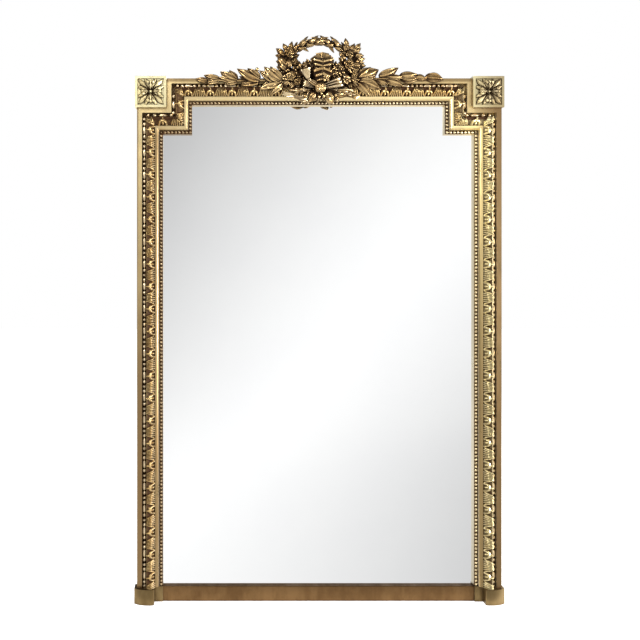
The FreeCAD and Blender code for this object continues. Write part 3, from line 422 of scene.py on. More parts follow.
def gilding(name, bright, deep, grime_and_shade_colour, reach, hollow_shade, gloss=0.32, bed=0.0, foot=0.0, roll=0.0, right_stile_shade=0.0,
            left_shade=0.0, right_lit_gold=None):
    """Gold leaf over brown bole, with painted shade and some toning in its hollows and a painted highlight on
    its ridges.

    foot, right_stile_shade and left_shade paint shade at the foot, on the right stile and towards the left.
    roll keeps the inner roll from that and paints it lighter at the top and on the right; bed paints shade
    into the sunk beds and along the outer arrises, darkens the outer side faces and gives the inner side
    faces a paler gold; and right_lit_gold is a lighter gold painted as light on the carving of the right
    side.
    """
    f = Finish("gilt_" + name)
    spot = f.parts("TexCoord", "Object")

    def zone(place, low=0.0, high=1.0, soft=True):
        axis, start, full = place
        return f.span(spot[axis], start, full, low, high, soft)

    cut = f.node("Attribute", "Fac", attribute_name="cut")
    closed = f.but(f.node("AmbientOcclusion", "AO", {"Distance": reach}, samples=6))
    cloud = f.noise(9.0, 5.0, 0.6)
    speck = f.noise(260.0, 3.0, 0.6)
    streak = f.noise(38.0, 4.0, 0.65, (1.0, 1.0, 0.35))
    # Painted shade, with some toning, in the hollows, from ambient occlusion and from cut; the speck and
    # streak noise below adds real dirt.
    dirt_and_shade = f.times(closed, 1.25 * hollow_shade, f.times(cut, 0.60))
    # Painted light on the inner parts of the top run and the right stile: less shade there.
    if roll:
        inner, above, right = zone(BEHIND_FLAT), zone(TOP_RUN, 0.0, 0.5), zone(RIGHT_ROLL)
        lit_roll = f.times(inner, f.most(above, right))
        dirt_and_shade = f.times(lit_roll, -0.80, dirt_and_shade)
    # Painted shade in the sunk beds, and on the pearl bed, darker where it faces the front than on its side
    # walls.
    if bed:
        turned = f.parts("NewGeometry", "Normal")
        facing = f.span(turned["Y"], -0.7, -0.3, bed, -bed)
        dirt_and_shade = f.math("ADD", zone(SUNK_BEDS, 0.0, 0.45 * bed), dirt_and_shade)
        dirt_and_shade = f.times(zone(PEARL_FLOOR), facing, dirt_and_shade)
    # Painted light on the carving of the right side: less shade, and a lighter gold further on.
    if right_lit_gold:
        lit_right = zone(RIGHT_CARVING)
        dirt_and_shade = f.times(lit_right, -0.20, dirt_and_shade)
    dirt_and_shade = f.times(speck, 0.50, f.times(streak, 0.45, f.math("ADD", dirt_and_shade, -0.51)))
    grime_and_shade = f.span(dirt_and_shade, 0.10, 0.95)
    tone = f.times(cloud, 0.7, f.times(streak, 0.45))
    colour = f.mix(f.span(tone, 0.42, 0.75), bright, deep)
    if right_lit_gold:
        colour = f.mix(lit_right, colour, right_lit_gold)
    # Painted shade: darker towards the foot, on the right stile and towards the left.
    if foot:
        shade_and_tone = zone(FOOT_TO_TOP, foot, 0.0)
        right_shading = zone(RIGHT_STILE, 0.0, right_stile_shade)
        left_shading = zone(LEFT_TO_RIGHT, left_shade, 0.0, soft=False)
        # On the inner parts: less painted shade at the foot and on the right stile, painted shade towards the
        # left only below the top run, and the lighter golds painted as light at the top and on the right.
        if roll:
            shade_and_tone = f.times(shade_and_tone, f.times(inner, -roll, 1.0))
            right_shading = f.times(right_shading, f.times(inner, -0.75, 1.0))
            left_shading = f.times(left_shading, f.times(inner, f.but(above)))
            colour = f.mix(lit_roll, colour, f.mix(right, LIT_ROLL_TOP, LIT_ROLL_RIGHT))
        shade_and_tone = f.most(shade_and_tone, right_shading, left_shading)
        # Darker on the outer side faces, and painted shade along the outer arrises at the top and at the
        # sides; further on, the inner side faces get a paler gold.
        if bed:
            apart = f.math("ABSOLUTE", spot["X"])
            edge = f.span(f.math("ABSOLUTE", turned["X"]), 0.75, 0.95)
            outside = f.span(apart, *OUTER_SIDES)
            shade_and_tone = f.most(shade_and_tone, f.times(f.times(edge, outside), 0.94), zone(TOP_ARRIS, 0.0, 0.72),
                          f.span(apart, *OUTER_ARRIS, 0.0, 0.75))
        colour = f.mix(shade_and_tone, colour, SHADE_AND_TONE_BROWN)
        if bed:
            colour = f.mix(f.times(f.times(edge, f.but(outside)), 0.7), colour, SIGHT_EDGE)
    # Painted highlight on the ridges, where cut is below 0.
    colour = f.mix(f.span(cut, -1.1, -0.4, 0.75, 0.0), colour, RIDGE_HIGHLIGHT)
    colour = f.mix(f.span(f.times(cut, -0.25, speck), 0.66, 0.80, 0.0, 0.35), colour, BOLE)
    f.bump(f.times(speck, 0.5, streak), 0.22, 0.0012)
    rough = f.times(grime_and_shade, 0.28, f.span(streak, 0.3, 0.7, gloss - 0.06, gloss + 0.08))
    return f.set(Base_Color=f.mix(grime_and_shade, colour, grime_and_shade_colour), Metallic=f.span(grime_and_shade, 0.0, 1.0, 0.95, 0.1),
                 Roughness=rough, Specular_IOR_Level=0.15)


def timber(name, pale, dark, along=(1, 1, 0.06), wash=None):
    """Planed softwood or oak with long grain, pores and handling dirt."""
    f = Finish(name)
    grain = f.noise(70.0, 6.0, 0.62, along, 0.6)
    pore = f.noise(630.0, 2.0, 0.5, along)
    stain = f.noise(5.0, 4.0, 0.6)
    colour = f.mix(f.span(grain, 0.34, 0.66), pale, dark)
    colour = f.mix(f.times(f.span(pore, 0.55, 0.72), 0.55), colour, tuple(0.35 * x for x in dark))
    colour = f.mix(f.span(stain, 0.45, 0.75, 0.0, 0.5), colour, tuple(0.45 * x for x in dark))
    if wash:
        colour = f.mix(f.span(f.noise(14.0, 5.0, 0.7), 0.3, 0.6, 0.9, 0.45), colour, wash)
    f.bump(f.times(pore, -0.6, grain), 0.35, 0.0008)
    return f.set(Base_Color=colour, Roughness=f.span(grain, 0.3, 0.7, 0.62, 0.82))


def metal(name, colour, rust, rough):
    """Old iron or steel, rusted in patches."""
    f = Finish(name)
    patch = f.noise(160.0, 5.0, 0.65)
    fine = f.noise(900.0, 3.0, 0.6)
    red = f.span(patch, 0.5, 0.72, 0.0, 0.5)
    f.bump(f.times(fine, 0.4, patch), 0.35, 0.0005)
    return f.set(Base_Color=f.mix(red, colour, rust), Metallic=f.span(red, 0.0, 1.0, 1.0, 0.3),
                 Roughness=f.times(red, 0.4, f.span(fine, 0.3, 0.7, rough - 0.06, rough + 0.1)))


def silvered_plate():
    """Old mirror glass, a little hazy and flecked."""
    f = Finish("silvered_plate")
    haze = f.noise(3.0, 4.0, 0.6)
    fleck = f.noise(420.0, 2.0, 0.5)
    tint = f.mix(f.span(haze, 0.3, 0.7), (0.90, 0.905, 0.905), (0.88, 0.885, 0.89))
    tint = f.mix(f.span(fleck, 0.80, 0.86, 0.0, 0.25), tint, (0.55, 0.53, 0.50))
    return f.set(Base_Color=tint, Metallic=1.0, Roughness=f.span(haze, 0.3, 0.7, 0.015, 0.035))


UMBER, OCHRE = (0.040, 0.015, 0.003), (0.19, 0.118, 0.036)
PINE = (0.28, 0.175, 0.078), (0.165, 0.092, 0.037)
OAK = (0.31, 0.20, 0.105), (0.165, 0.095, 0.045)
LEVEL_GRAIN = (0.06, 1, 1)

gilt_crest = gilding("crest", (0.75, 0.525, 0.242), (0.36, 0.205, 0.068), (0.020, 0.0075, 0.0012),
                     0.026, 2.5, 0.26)
gilt_strip = gilding("strip", (0.95, 0.70, 0.31), (0.66, 0.43, 0.155), UMBER, 0.012, 0.9,
                     foot=0.30, left_shade=0.45, right_lit_gold=(0.99, 0.85, 0.46))
gilt_reel = gilding("reel", (0.95, 0.78, 0.53), (0.76, 0.56, 0.32), UMBER, 0.010, 0.6, foot=0.20)
gilt_pearl = gilding("pearl", (0.66, 0.55, 0.35), (0.46, 0.36, 0.21), UMBER, 0.010, 1.7,
                     foot=0.25, left_shade=0.80, right_lit_gold=(0.88, 0.72, 0.42))
gilt_block = gilding("block", (0.95, 0.86, 0.53), (0.78, 0.66, 0.35), (0.045, 0.024, 0.004),
                     0.008, 1.0, foot=0.01, right_stile_shade=0.63)
gilt_patera = gilding("patera", (0.87, 0.76, 0.45), (0.63, 0.51, 0.26), (0.030, 0.015, 0.003),
                      0.012, 2.0, 0.50, foot=0.01, right_stile_shade=0.63)
gilt_moulding = gilding("moulding", (0.86, 0.68, 0.35), (0.68, 0.50, 0.235), (0.060, 0.025, 0.006),
                        0.011, 1.5, bed=0.7, foot=0.90, roll=0.10, right_stile_shade=0.88, left_shade=0.80)
gilt_rail = gilding("rail", (0.160, 0.090, 0.037), (0.108, 0.058, 0.023), (0.04, 0.019, 0.007),
                    0.014, 0.8, 0.42)
gilt_plinth = gilding("plinth", (0.195, 0.134, 0.059), (0.126, 0.083, 0.034), (0.04, 0.021, 0.007),
                      0.012, 0.8, 0.36)
silver = silvered_plate()
pine = timber("carcass_pine", *PINE, wash=OCHRE)
pine_rail = timber("carcass_pine_rail", *PINE, LEVEL_GRAIN, wash=OCHRE)
oak = timber("back_oak", *OAK)
oak_rail = timber("back_oak_rail", *OAK, LEVEL_GRAIN)
iron = metal("wrought_iron", (0.11, 0.105, 0.10), (0.13, 0.055, 0.025), 0.45)
steel = metal("screw_steel", (0.30, 0.29, 0.275), (0.14, 0.07, 0.035), 0.42)

CAD_FINISH = {
    "moulding_": gilt_moulding, "step_": gilt_moulding, "corner_block_": gilt_block,
    "lower_rail": gilt_rail, "plinth_": gilt_plinth, "mirror_glass": silver, "carcass_stile": pine,
    "carcass_rail": pine_rail, "crest_board": pine_rail, "glazing_blocks": pine, "back_stile": oak,
    "back_panel": oak, "back_rail": oak_rail, "hanging_": iron, "angle_iron": iron, "back_screws": steel,
    "iron_screws": steel, "plate_screws": steel,
}
for name, node in nodes.items():
    for start, finish in CAD_FINISH.items():
        if name.startswith(start):
            node.data.materials.clear()
            node.data.materials.append(finish)


# Carved strips of the mouldings

class Run:
    """One length of moulding: outer corner, way it runs, way in to the glass, length and mitred ends."""

    def __init__(self, x, z, along, inward, length, first, last):
        self.start = np.array((x, 0.0, z))
        self.along, self.inward, self.level = along, inward, inward is DOWN
        self.length, self.first, self.last = length, first, last

    def span(self, inset):
        return self.first * inset, self.length - self.last * inset

    def pattern(self):
        """Where the carved pattern starts, the length of one repeat and how many repeats fill the run."""
        low, high = self.span(0.5 * (FLAT_END + LEAF_END))
        count = max(1, round((high - low) / REPEAT))
        return low, (high - low) / count, count

    def at(self, s, inset, height):
        s, inset, height = np.broadcast_arrays(np.asarray(s, float), inset, height)
        return self.start + by(self.along, s) + by(self.inward, inset) + by(FRONT, CARCASS + height)


RIGHT, LEFT, DOWN = np.array((1.0, 0.0, 0.0)), np.array((-1.0, 0.0, 0.0)), -UP
INNER = HALF_WIDTH - STEP
SHOULDER = HEIGHT - STEP
RUNS = {
    "left": [Run(-HALF_WIDTH, SHOULDER, DOWN, RIGHT, SHOULDER - PLINTH, 1, 0)],
    "right": [Run(HALF_WIDTH, SHOULDER, DOWN, LEFT, SHOULDER - PLINTH, 1, 0)],
    "top": [Run(-INNER, HEIGHT, RIGHT, DOWN, 2 * INNER, 1, 1)],
    "steps": [Run(-HALF_WIDTH, SHOULDER, RIGHT, DOWN, STEP, 1, -1),
              Run(-INNER, SHOULDER, UP, RIGHT, STEP, -1, 1),
              Run(HALF_WIDTH, SHOULDER, LEFT, DOWN, STEP, 1, -1),
              Run(INNER, SHOULDER, UP, LEFT, STEP, -1, 1)],
}
REPEAT = 67.6
PEARL_PITCH, PEARL_RADIUS = 10.8, 4.5
# Inset and height of the leaf moulding's curved bed, from the channel to the roll
BED = np.array([(28.0, 11.5), (28.0, 20.0), (27.2, 27.0), (26.6, 33.0), (27.6, 37.2), (31.0, 39.2),
                (36.0, 38.0), (41.5, 33.5), (47.0, 27.0), (50.5, 23.0), (52.6, 20.2)])


def pearls(art, run):
    """Round beads along the sight edge, one on each corner."""
    inset = 0.5 * (ROLL_END + PEARL_END)
    low, high = run.span(inset)
    count = max(1, round((high - low) / PEARL_PITCH))
    places = np.linspace(low, high, count + 1)
    if run.last == 0:
        places = places - 0.5 * (high - low) / count * np.linspace(0, 1, count + 1)
    # Each pearl gets a painted highlight on its crown, weaker on the top run than on the stiles, and painted
    # shade round its sides.
    for s in places if run.first > 0 else places[1:-1]:
        ball(art, run.at(s, inset, PEARL_BED + 1.0), PEARL_RADIUS, rows=9, sides=14, squash=1.05,
             cut=-0.1 if run.level else -0.6, rim=1.7)
    # Short dark rods between the pearls stand for the shade in the gaps.
    for s in 0.5 * (places[1:] + places[:-1]):
        tube(art, run.at(np.array((s - 2.6, s + 2.6)), inset, PEARL_BED + 0.2), 1.3, sides=6, cut=1.2)


def beads_and_reels(art, run):
    """Olives, round beads and thin reels threaded in the dark channel."""
    inset, centre = 0.5 * (FLAT_END + CHANNEL_END), CHANNEL_FLOOR + 5.5
    low, high = run.span(inset)
    first, repeat, count = run.pattern()
    # Half length, radius and the power that makes the outline round or blunt
    olive, bead, reel = (12.0, 5.8, 2.6), (5.6, 5.6, 2.0), (3.2, 5.8, 5.0)
    t = sin(np.linspace(-0.495, 0.495, 13) * pi)[:, None]
    b = turns(16)[None]
    for n in range(count):
        middle = first + (n + 0.5) * repeat
        forms = [(0.0, olive), (-0.285 * repeat, bead), (0.285 * repeat, bead)]
        forms += [(-0.5 * repeat, reel)] if n or run.first > 0 else []
        forms += [(0.5 * repeat - 3.5, reel)] if n == count - 1 and run.last == 0 else []
        for offset, (long, radius, power) in forms:
            r = radius * np.clip(1 - np.abs(t) ** power, 0.02, 1) ** (0.55 if power < 4 else 0.35)
            ring = run.at(middle + offset + t * long, inset, centre)
            ring = ring + by(run.inward, r * cos(b)) + by(FRONT, r * sin(b))
            # Painted highlight on the fronts of the beads and painted shade on their backs and ends.
            art.rings(ring, 0.45 - 1.25 * sin(b) + 0.6 * np.abs(t) ** 4)
    # A dark rod along the channel stands for the shade between the beads.
    tube(art, run.at(np.linspace(low + 1, high - 1, 3), inset, centre - 0.8), 1.6, sides=6, cut=1.0)


def leaf_and_dart(art, run):
    """Carved torus: an arched leaf with a dart in it by each olive and a fan of acanthus fingers between.

    s runs along the moulding and q across it, from the roll to the channel; a and b are the places along it
    from the middle of the nearest arched leaf and of the nearest fan.
    """
    spread = walked(BED)
    across = np.linspace(0, spread[-1], 42)
    bed = np.stack([np.interp(across, spread, BED[:, k]) for k in (0, 1)], -1)
    bed[1:-1] = 0.25 * bed[:-2] + 0.5 * bed[1:-1] + 0.25 * bed[2:]
    slope = unit_rows(np.gradient(bed, axis=0))
    inset = bed[:, 0]
    low, high = run.span(inset)
    rows = int((high - low).max() / 0.9)
    s = low[None] + np.linspace(0, 1, rows)[:, None] * (high - low)[None]
    first, repeat, _ = run.pattern()
    q = (spread[-1] - across)[None] + 0 * s
    a = ((s - first) % repeat) - 0.5 * repeat
    b = np.where(a > 0, a - 0.5 * repeat, a + 0.5 * repeat)
    ground = -4.2 + 2.4 * step(26.0, 36.0, q)

    def finger(x, y, lean, long, wide, crown):
        """One finger that widens from its root and stands highest near the rounded tip."""
        forward = x * sin(lean) + y * cos(lean)
        off = x * cos(lean) - y * sin(lean)
        t = np.clip(forward / long, 0, 1.05)
        half = 1.3 + wide * t * (1 - 0.4 * step(0.90, 1.0, t))
        shape = (1.0 + crown * step(0.10, 0.70, t) - 6.0 * (np.abs(off) / half) ** 2.4
                 - 45 * np.maximum(0, t - 0.98) - 8 * step(0.06, 0.0, t))
        return np.clip(shape, ground, 4.6)

    arch = np.where(q > 10, np.hypot(a / 12.0, (q - 10) / 13.0), np.abs(a) / (12.0 + 0.25 * (10 - q)))
    palm = 7.6 * bell(arch - 0.80, 0.26) + 7.4 * bell(np.hypot(a / 3.6, (q - 8) / 9.0), 0.85) - 3.4
    relief = np.where(arch < 1.08, np.maximum(palm, ground), ground)
    relief = np.maximum(relief, finger(a, 38 - q, 0.0, 14.0, 2.4, 1.4))
    for k in range(-3, 4):
        long = (36, 35, 36, 33)[abs(k)]
        relief = np.maximum(relief, finger(b - 2.7 * k, 37 - q, radians(5.8) * k, long, 1.5, 3.2))
    wall = step(40.0, 43.0, q)
    relief = relief * (1 - wall) - 0.4 * wall
    rim = step(2.2, 0.8, q)
    relief = relief * (1 - rim) - 2.0 * rim
    relief[:, 0] = relief[:, -1] = -1.0
    deep = inset[None] - slope[None, :, 1] * relief
    high = bed[None, :, 1] + slope[None, :, 0] * relief
    lowest = 33.6 - (deep - CHANNEL_END) * 13 / 24
    high = np.where((deep > CHANNEL_END) & (q < 40), np.maximum(high, lowest), high)
    keel = run.at(s[:, [-1, 0]], inset[[-1, 0]], np.array((13.0, 11.0)))
    # Painted shade: darker in the hollows of the relief, on the wall and the rim, and on the outer half; the
    # top runs, whose outer half faces up, are darker overall and much darker on that half.
    base_shade, outer_half_shade = (0.34, 0.95) if run.level else (0.22, 0.30)
    cut = (np.clip(base_shade - 0.26 * relief, -0.9, 1.2) + 0.2 * rim + 0.9 * wall
           + outer_half_shade * step(13.0, 27.0, q))
    art.rings(np.concatenate([run.at(s, deep, high), keel], 1), np.concatenate([cut, np.ones((rows, 2))], 1))


for side, runs in RUNS.items():
    for strip, node, finish in ((pearls, "pearl_beading_", gilt_pearl),
                                (beads_and_reels, "bead_and_reel_", gilt_reel),
                                (leaf_and_dart, "leaf_moulding_", gilt_strip)):
        art = Carving()
        for run in runs:
            strip(art, run)
        art.piece("carved_" + node + side, finish, "gilt_moulding", node + side)


# Corner blocks

def patera(art, side):
    """Acanthus rosette: a leaf of three lobes to each corner and four short leaves whose tips curl over."""
    middle = 0.5 * STEP - 2.5
    centre = np.array((side * (HALF_WIDTH - middle), -(CARCASS + BLOCK_FACE), HEIGHT - middle))

    def spoke(degrees, out, lift):
        a = radians(degrees)
        return centre + out * np.array((cos(a), 0, sin(a))) + lift * FRONT

    for corner in (45, 135, 225, 315):
        for turn, long, wide in ((-23, 45, 13), (23, 45, 13), (0, 53, 15)):
            leaf(art, spoke(corner + 0.4 * turn, 5, 2), spoke(corner + turn, long, 2), wide, rise=0.17,
                 droop=0.0, cup=0.40, ribs=0, thick=0.25, swell=1.5, rows=30, half=8, edge=1.5)
    for n, way in enumerate((0, 90, 180, 270)):
        tip = 27.0 + 3.0 * sin(2.3 * n)
        leaf(art, spoke(way, 3, 5), spoke(way, tip + 4, 6), 17, rise=0.20, droop=0.0, cup=0.30, ribs=1.0,
             relief=0.08, thick=0.25, swell=1.6, rows=24, half=7, edge=1.5)
        for turn in (-20, 20, 0):
            leaf(art, spoke(way + 0.5 * turn, tip - 9, 9), spoke(way + turn, tip + 7, 4), 11, rise=0.42,
                 cup=0.40, ribs=0, thick=0.30, swell=1.2, rows=18, edge=1.4)
    ball(art, centre + FRONT * 6.0, 4.0, rows=9, sides=16, squash=0.8, cut=0.3)


# Crest, placed from the middle of the frame's top edge: X, height above the edge and depth

def crest(x, rise, y):
    return np.array((x, y, HEIGHT + rise), float)


def wreath(art):
    """Laurel garland: pointed leaves climbing both limbs of the hoop to meet at its top, with berries."""
    middle, half, tall = crest(2, 14, -43), 108.0, 100.0

    def point(angle):
        return middle + np.array((half * cos(angle), 0, tall * sin(angle)))

    def berry(centre):
        ball(art, centre, 3.6, rows=7, sides=10)

    tube(art, np.array([point(a) for a in radians(np.linspace(-10, 190, 60))]), 4.0, cut=0.9)
    for side in (1, -1):
        for n in range(13):
            degrees = -8 + 7.7 * n
            angle = radians(degrees if side > 0 else 180 - degrees)
            p = point(angle)
            t = unit(point(angle + side * 0.02) - p)
            out = unit(p - middle)
            for m, around in enumerate((2, 70, 125, 178) if n % 2 else (35, 95, 150)):
                around = radians(around + 12 * sin(2.7 * n + m))
                radial = out * cos(around) + FRONT * sin(around)
                spread = radians(24 + 15 * sin(3.1 * n + 2.3 * m))
                long = 34 + 6 * sin(1.7 * n + 1.9 * m)
                base = p + radial * 2
                leaf(art, base, base + long * (t * cos(spread) + radial * sin(spread)), 14.0,
                     radial + 0.35 * FRONT - 0.4 * t, rise=0.12, droop=0.03, relief=0.06, rows=12, half=4,
                     edge=0.8)
            if n % 3 == 1:
                for lean in (0.9, -0.6):
                    berry(p + out * 9 * lean + FRONT * 9 + t * 4)
    top = point(pi / 2)
    for x0, z0, x1, z1 in ((-60, -12, -32, -32), (26, -6, 44, -36), (-6, 0, 18, 10), (4, 2, 28, -8),
                           (-14, -2, -34, 6)):
        leaf(art, top + (x0, -6, z0), top + (x1, -9, z1), 11, rows=12, half=4)
    for x in (-7, 0, 7):
        berry(top + (x, -11, 1 - 0.4 * abs(x)))


def leaves(art, spots, y, broad=1.0, **style):
    """Leaves on the front of the crest, each given as X and Z of its foot and of its tip, and a width."""
    for n, (x0, z0, x1, z1, wide) in enumerate(spots):
        near = y - 0.4 * (n % 4)
        front = (0.25 * sin(2.1 * n), -1, 0.25 * cos(1.7 * n))
        leaf(art, crest(x0, z0, near), crest(x1, z1, near + 2), broad * wide, front, **style)


def berries(art, spots, radius, y):
    for n, (x, z) in enumerate(spots):
        ball(art, crest(x, z, y - 1.5 * sin(2.0 * n)), radius * (1 + 0.15 * sin(3.0 * n)),
             rows=7, sides=10)


# Leaves as leaves() takes them; roses: place, radius, front, turn; daisies: place, radius, petals, button
CLUMPS = {
    -1: dict(
        back=[(-93, 80, -108, 108, 14), (-88, 82, -80, 114, 13), (-106, 72, -130, 92, 14),
              (-104, 66, -132, 72, 14), (-84, 78, -66, 96, 13), (-84, 62, -58, 74, 14),
              (-104, 46, -130, 54, 14), (-82, 44, -54, 46, 15), (-96, 14, -126, 24, 16),
              (-84, 24, -56, 30, 16), (-90, 40, -64, 60, 15), (-100, 26, -128, 38, 15),
              (-82, 12, -54, 14, 16), (-88, 56, -118, 62, 14), (-80, 34, -60, 36, 15)],
        fore=[(-98, 34, -126, 64, 18), (-97, 26, -122, 44, 16), (-94, 28, -90, 60, 16), (-86, 2, -120, 2, 15),
              (-88, -4, -116, -26, 16), (-82, -6, -84, -38, 15), (-76, 0, -46, 8, 16),
              (-76, -6, -46, -20, 16), (-80, 12, -58, 20, 14), (-70, -20, -96, -36, 15)],
        roses=[((-92, 78, -60), 17, (-0.15, -1, 0.15), 0.4), ((-74, 50, -58), 13, (0.2, -1, 0.1), 1.9),
               ((-108, 38, -60), 11, (-0.35, -1, 0.0), 1.1), ((-87, 3, -70), 15, (-0.1, -1, -0.1), 2.0),
               ((-66, -14, -70), 13, (0.1, -1, -0.2), 0.7)],
        bud=((-104, 68, -58), (-123, 82, -60)), daisies=[], berry=(4.2, -67),
        berries=[(-105, 4), (-102, -5), (-96, -12), (-109, -4), (-72, 22), (-66, 30), (-78, 28), (-70, 12),
                 (-100, 20), (-94, 22), (-60, 2), (-56, -6), (-112, 70), (-84, 62)]),
    1: dict(
        back=[(92, 80, 108, 108, 14), (86, 82, 84, 112, 13), (100, 74, 128, 94, 14), (102, 62, 136, 72, 15),
              (102, 44, 138, 50, 16), (100, 30, 136, 26, 16), (82, 50, 58, 64, 15), (82, 34, 52, 42, 16),
              (100, 14, 134, 8, 16), (82, 20, 50, 26, 16), (108, 84, 126, 108, 13), (78, 66, 60, 80, 14),
              (104, 54, 140, 62, 17), (84, 92, 80, 124, 13), (110, 40, 142, 40, 16), (84, 8, 54, 12, 16),
              (98, 22, 128, 14, 16)],
        fore=[(84, 4, 56, 16, 15), (90, 2, 122, -10, 17), (84, -12, 92, -42, 16), (72, -10, 44, -2, 15),
              (74, -16, 54, -40, 16), (94, -6, 124, -34, 16), (98, 34, 126, 40, 15), (96, 26, 122, 20, 15)],
        roses=[((89, 41, -62), 18, (0.2, -1, 0.1), 0.9), ((92, 72, -58), 13, (0.1, -1, 0.25), 0.2),
               ((114, 30, -60), 12, (0.35, -1, 0), 2.7), ((106, 8, -64), 13, (0.3, -1, 0), 1.7)],
        bud=((108, 62, -58), (127, 74, -60)), berry=(4.4, -68),
        daisies=[((78, -9, -76), 14.5, 7, 0.22), ((64, 26, -62), 13, 6, 0.30)],
        berries=[(64, 6), (70, 14), (56, 2), (112, 48), (118, 54), (98, -8), (104, -14), (72, 58), (66, 52),
                 (60, 12), (92, 16), (88, 22)]),
}
SMALL_LEAF = dict(relief=0.06, rows=14, half=5, edge=0.9, shade=0.6)


def flower_clump(art, side):
    """Roses, buds and leaves bound to one limb of the wreath."""
    clump = CLUMPS[side]
    leaves(art, clump["back"], -53, broad=1.25, rise=0.16, **SMALL_LEAF)
    leaves(art, clump["fore"], -64, broad=1.25, rise=0.16, **SMALL_LEAF)
    for place, radius, front, turn in clump["roses"]:
        rose(art, crest(*place), radius, front, turn)
    for place, radius, petals, button in clump["daisies"]:
        daisy(art, crest(*place), radius, petals, button)
    stalk, tip = clump["bud"]
    bud(art, crest(*stalk), crest(*tip), 7.5)
    berries(art, clump["berries"], *clump["berry"])


def boss(art):
    """Acanthus and small flowers banked up behind the quiver."""
    arch = [(-56, 2), (-53, 24), (-40, 37), (-20, 44), (0, 46), (20, 44), (40, 37), (53, 24), (56, 2)]
    rings = []
    for share, depth in ((1.0, 0), (1.0, 18), (0.94, 26), (0.75, 32), (0.45, 36), (0.06, 38)):
        rings.append([crest(x * share, 0.5 + z * share, -31 - depth) for x, z in arch])
    art.rings(np.array(rings), 0.9)
    acanthus = dict(lobes=4, bite=0.36, rise=0.16, cup=0.16, rows=36, half=7)
    leaves(art, [(-14, 0, -66, 22, 24), (-12, 8, -58, 44, 24), (-10, 14, -40, 58, 20), (16, 0, 68, 20, 24),
                 (16, 8, 60, 40, 24), (14, 14, 44, 56, 20), (-16, -10, -66, -4, 22), (18, -10, 66, -6, 22),
                 (-18, -18, -60, -30, 20), (18, -18, 58, -28, 20)], -64, **acanthus)
    leaves(art, [(-42, 24, -35, 60, 16), (-54, 18, -59, 54, 16), (-48, 22, -47, 53, 15), (35, 26, 32, 60, 16),
                 (47, 22, 51, 54, 17), (58, 24, 65, 57, 16)], -58, rise=0.12, **SMALL_LEAF)
    leaves(art, [(side * x0, z0, side * x1, z1, 28) for side in (-1, 1) for x0, z0, x1, z1 in (
        (54, 6, 104, 34), (52, 26, 106, 14), (54, 2, 108, 2))], -46, **acanthus)
    daisy(art, crest(-44, 38, -68), 8, 5)
    berries(art, [(-30, 40), (-26, 47), (-34, 48), (42, 32), (48, 38), (38, 40)], 4.0, -70)


def quiver(art):
    """Fluted quiver leaning to the right, banded at its mouth and foot."""
    foot, mouth = crest(-8, -33, -80), crest(4, 30, -78)
    long = np.linalg.norm(mouth - foot)
    place, radius = np.array([(0, 3), (2, 7), (6, 9.5), (9, 9.5), (11, 8.0), (14, 8.0), (0.55 * long, 10.5),
                              (0.86 * long, 12.0), (0.88 * long, 13.6), (0.97 * long, 13.6),
                              (long, 12.0)]).T[..., None]
    b = turns(48)[None]
    flute = 0.5 - 0.5 * cos(12 * b)
    # Painted shade in the flutes.
    art.rings(round_rings(foot, unit(mouth - foot), FRONT, radius * (1 - 0.16 * flute), b, place),
              0.9 * flute - 0.25)


def flights(art):
    """Arrow feathers: smooth tips, a tier of barbs that rise outwards, and one that falls over the quiver."""
    for x, z, lean, wide, y in ((-17, 62, -0.35, 32, -80), (29, 63, 0.35, 32, -80), (6, 71, 0.0, 40, -82)):
        flight(art, crest(5 + 8 * lean, 16, y), crest(x, z, y + 2), 22, wide, 0.0, -0.12, 0.10, 0.0,
               (1.6 * lean, -1, 0.25))
    flight(art, crest(5, 14, -89), crest(5, 46, -88), 48, 64, 2.5, 0.30, 0.08, 0.10)
    flight(art, crest(4, -12, -92), crest(5, 29, -91), 38, 62, 2.5, -0.34, 0.06, 0.10)


def bow_loop(art, knot, tip, width, depth, lean, gather=1.8, folds=4.0, pinch=0.34):
    """A loop of ribbon that leaves the knot in front and comes back behind, gathered where it is tied."""
    line = tip - knot
    across = unit(np.cross(line, FRONT)) + lean * FRONT
    t = np.linspace(0.0, 1.0, 34)
    out = sin(pi * t) ** 0.75
    near = depth * cos(pi * t) * sin(pi * t) ** 0.4
    wide = width * (pinch + (1 - pinch) * out ** 0.8)
    ribbon(art, knot + by(line, out) + by(FRONT, near), np.repeat(across[None], 34, 0), wide,
           gather * (1 - 0.6 * out), folds, cols=25, tone=-0.8)


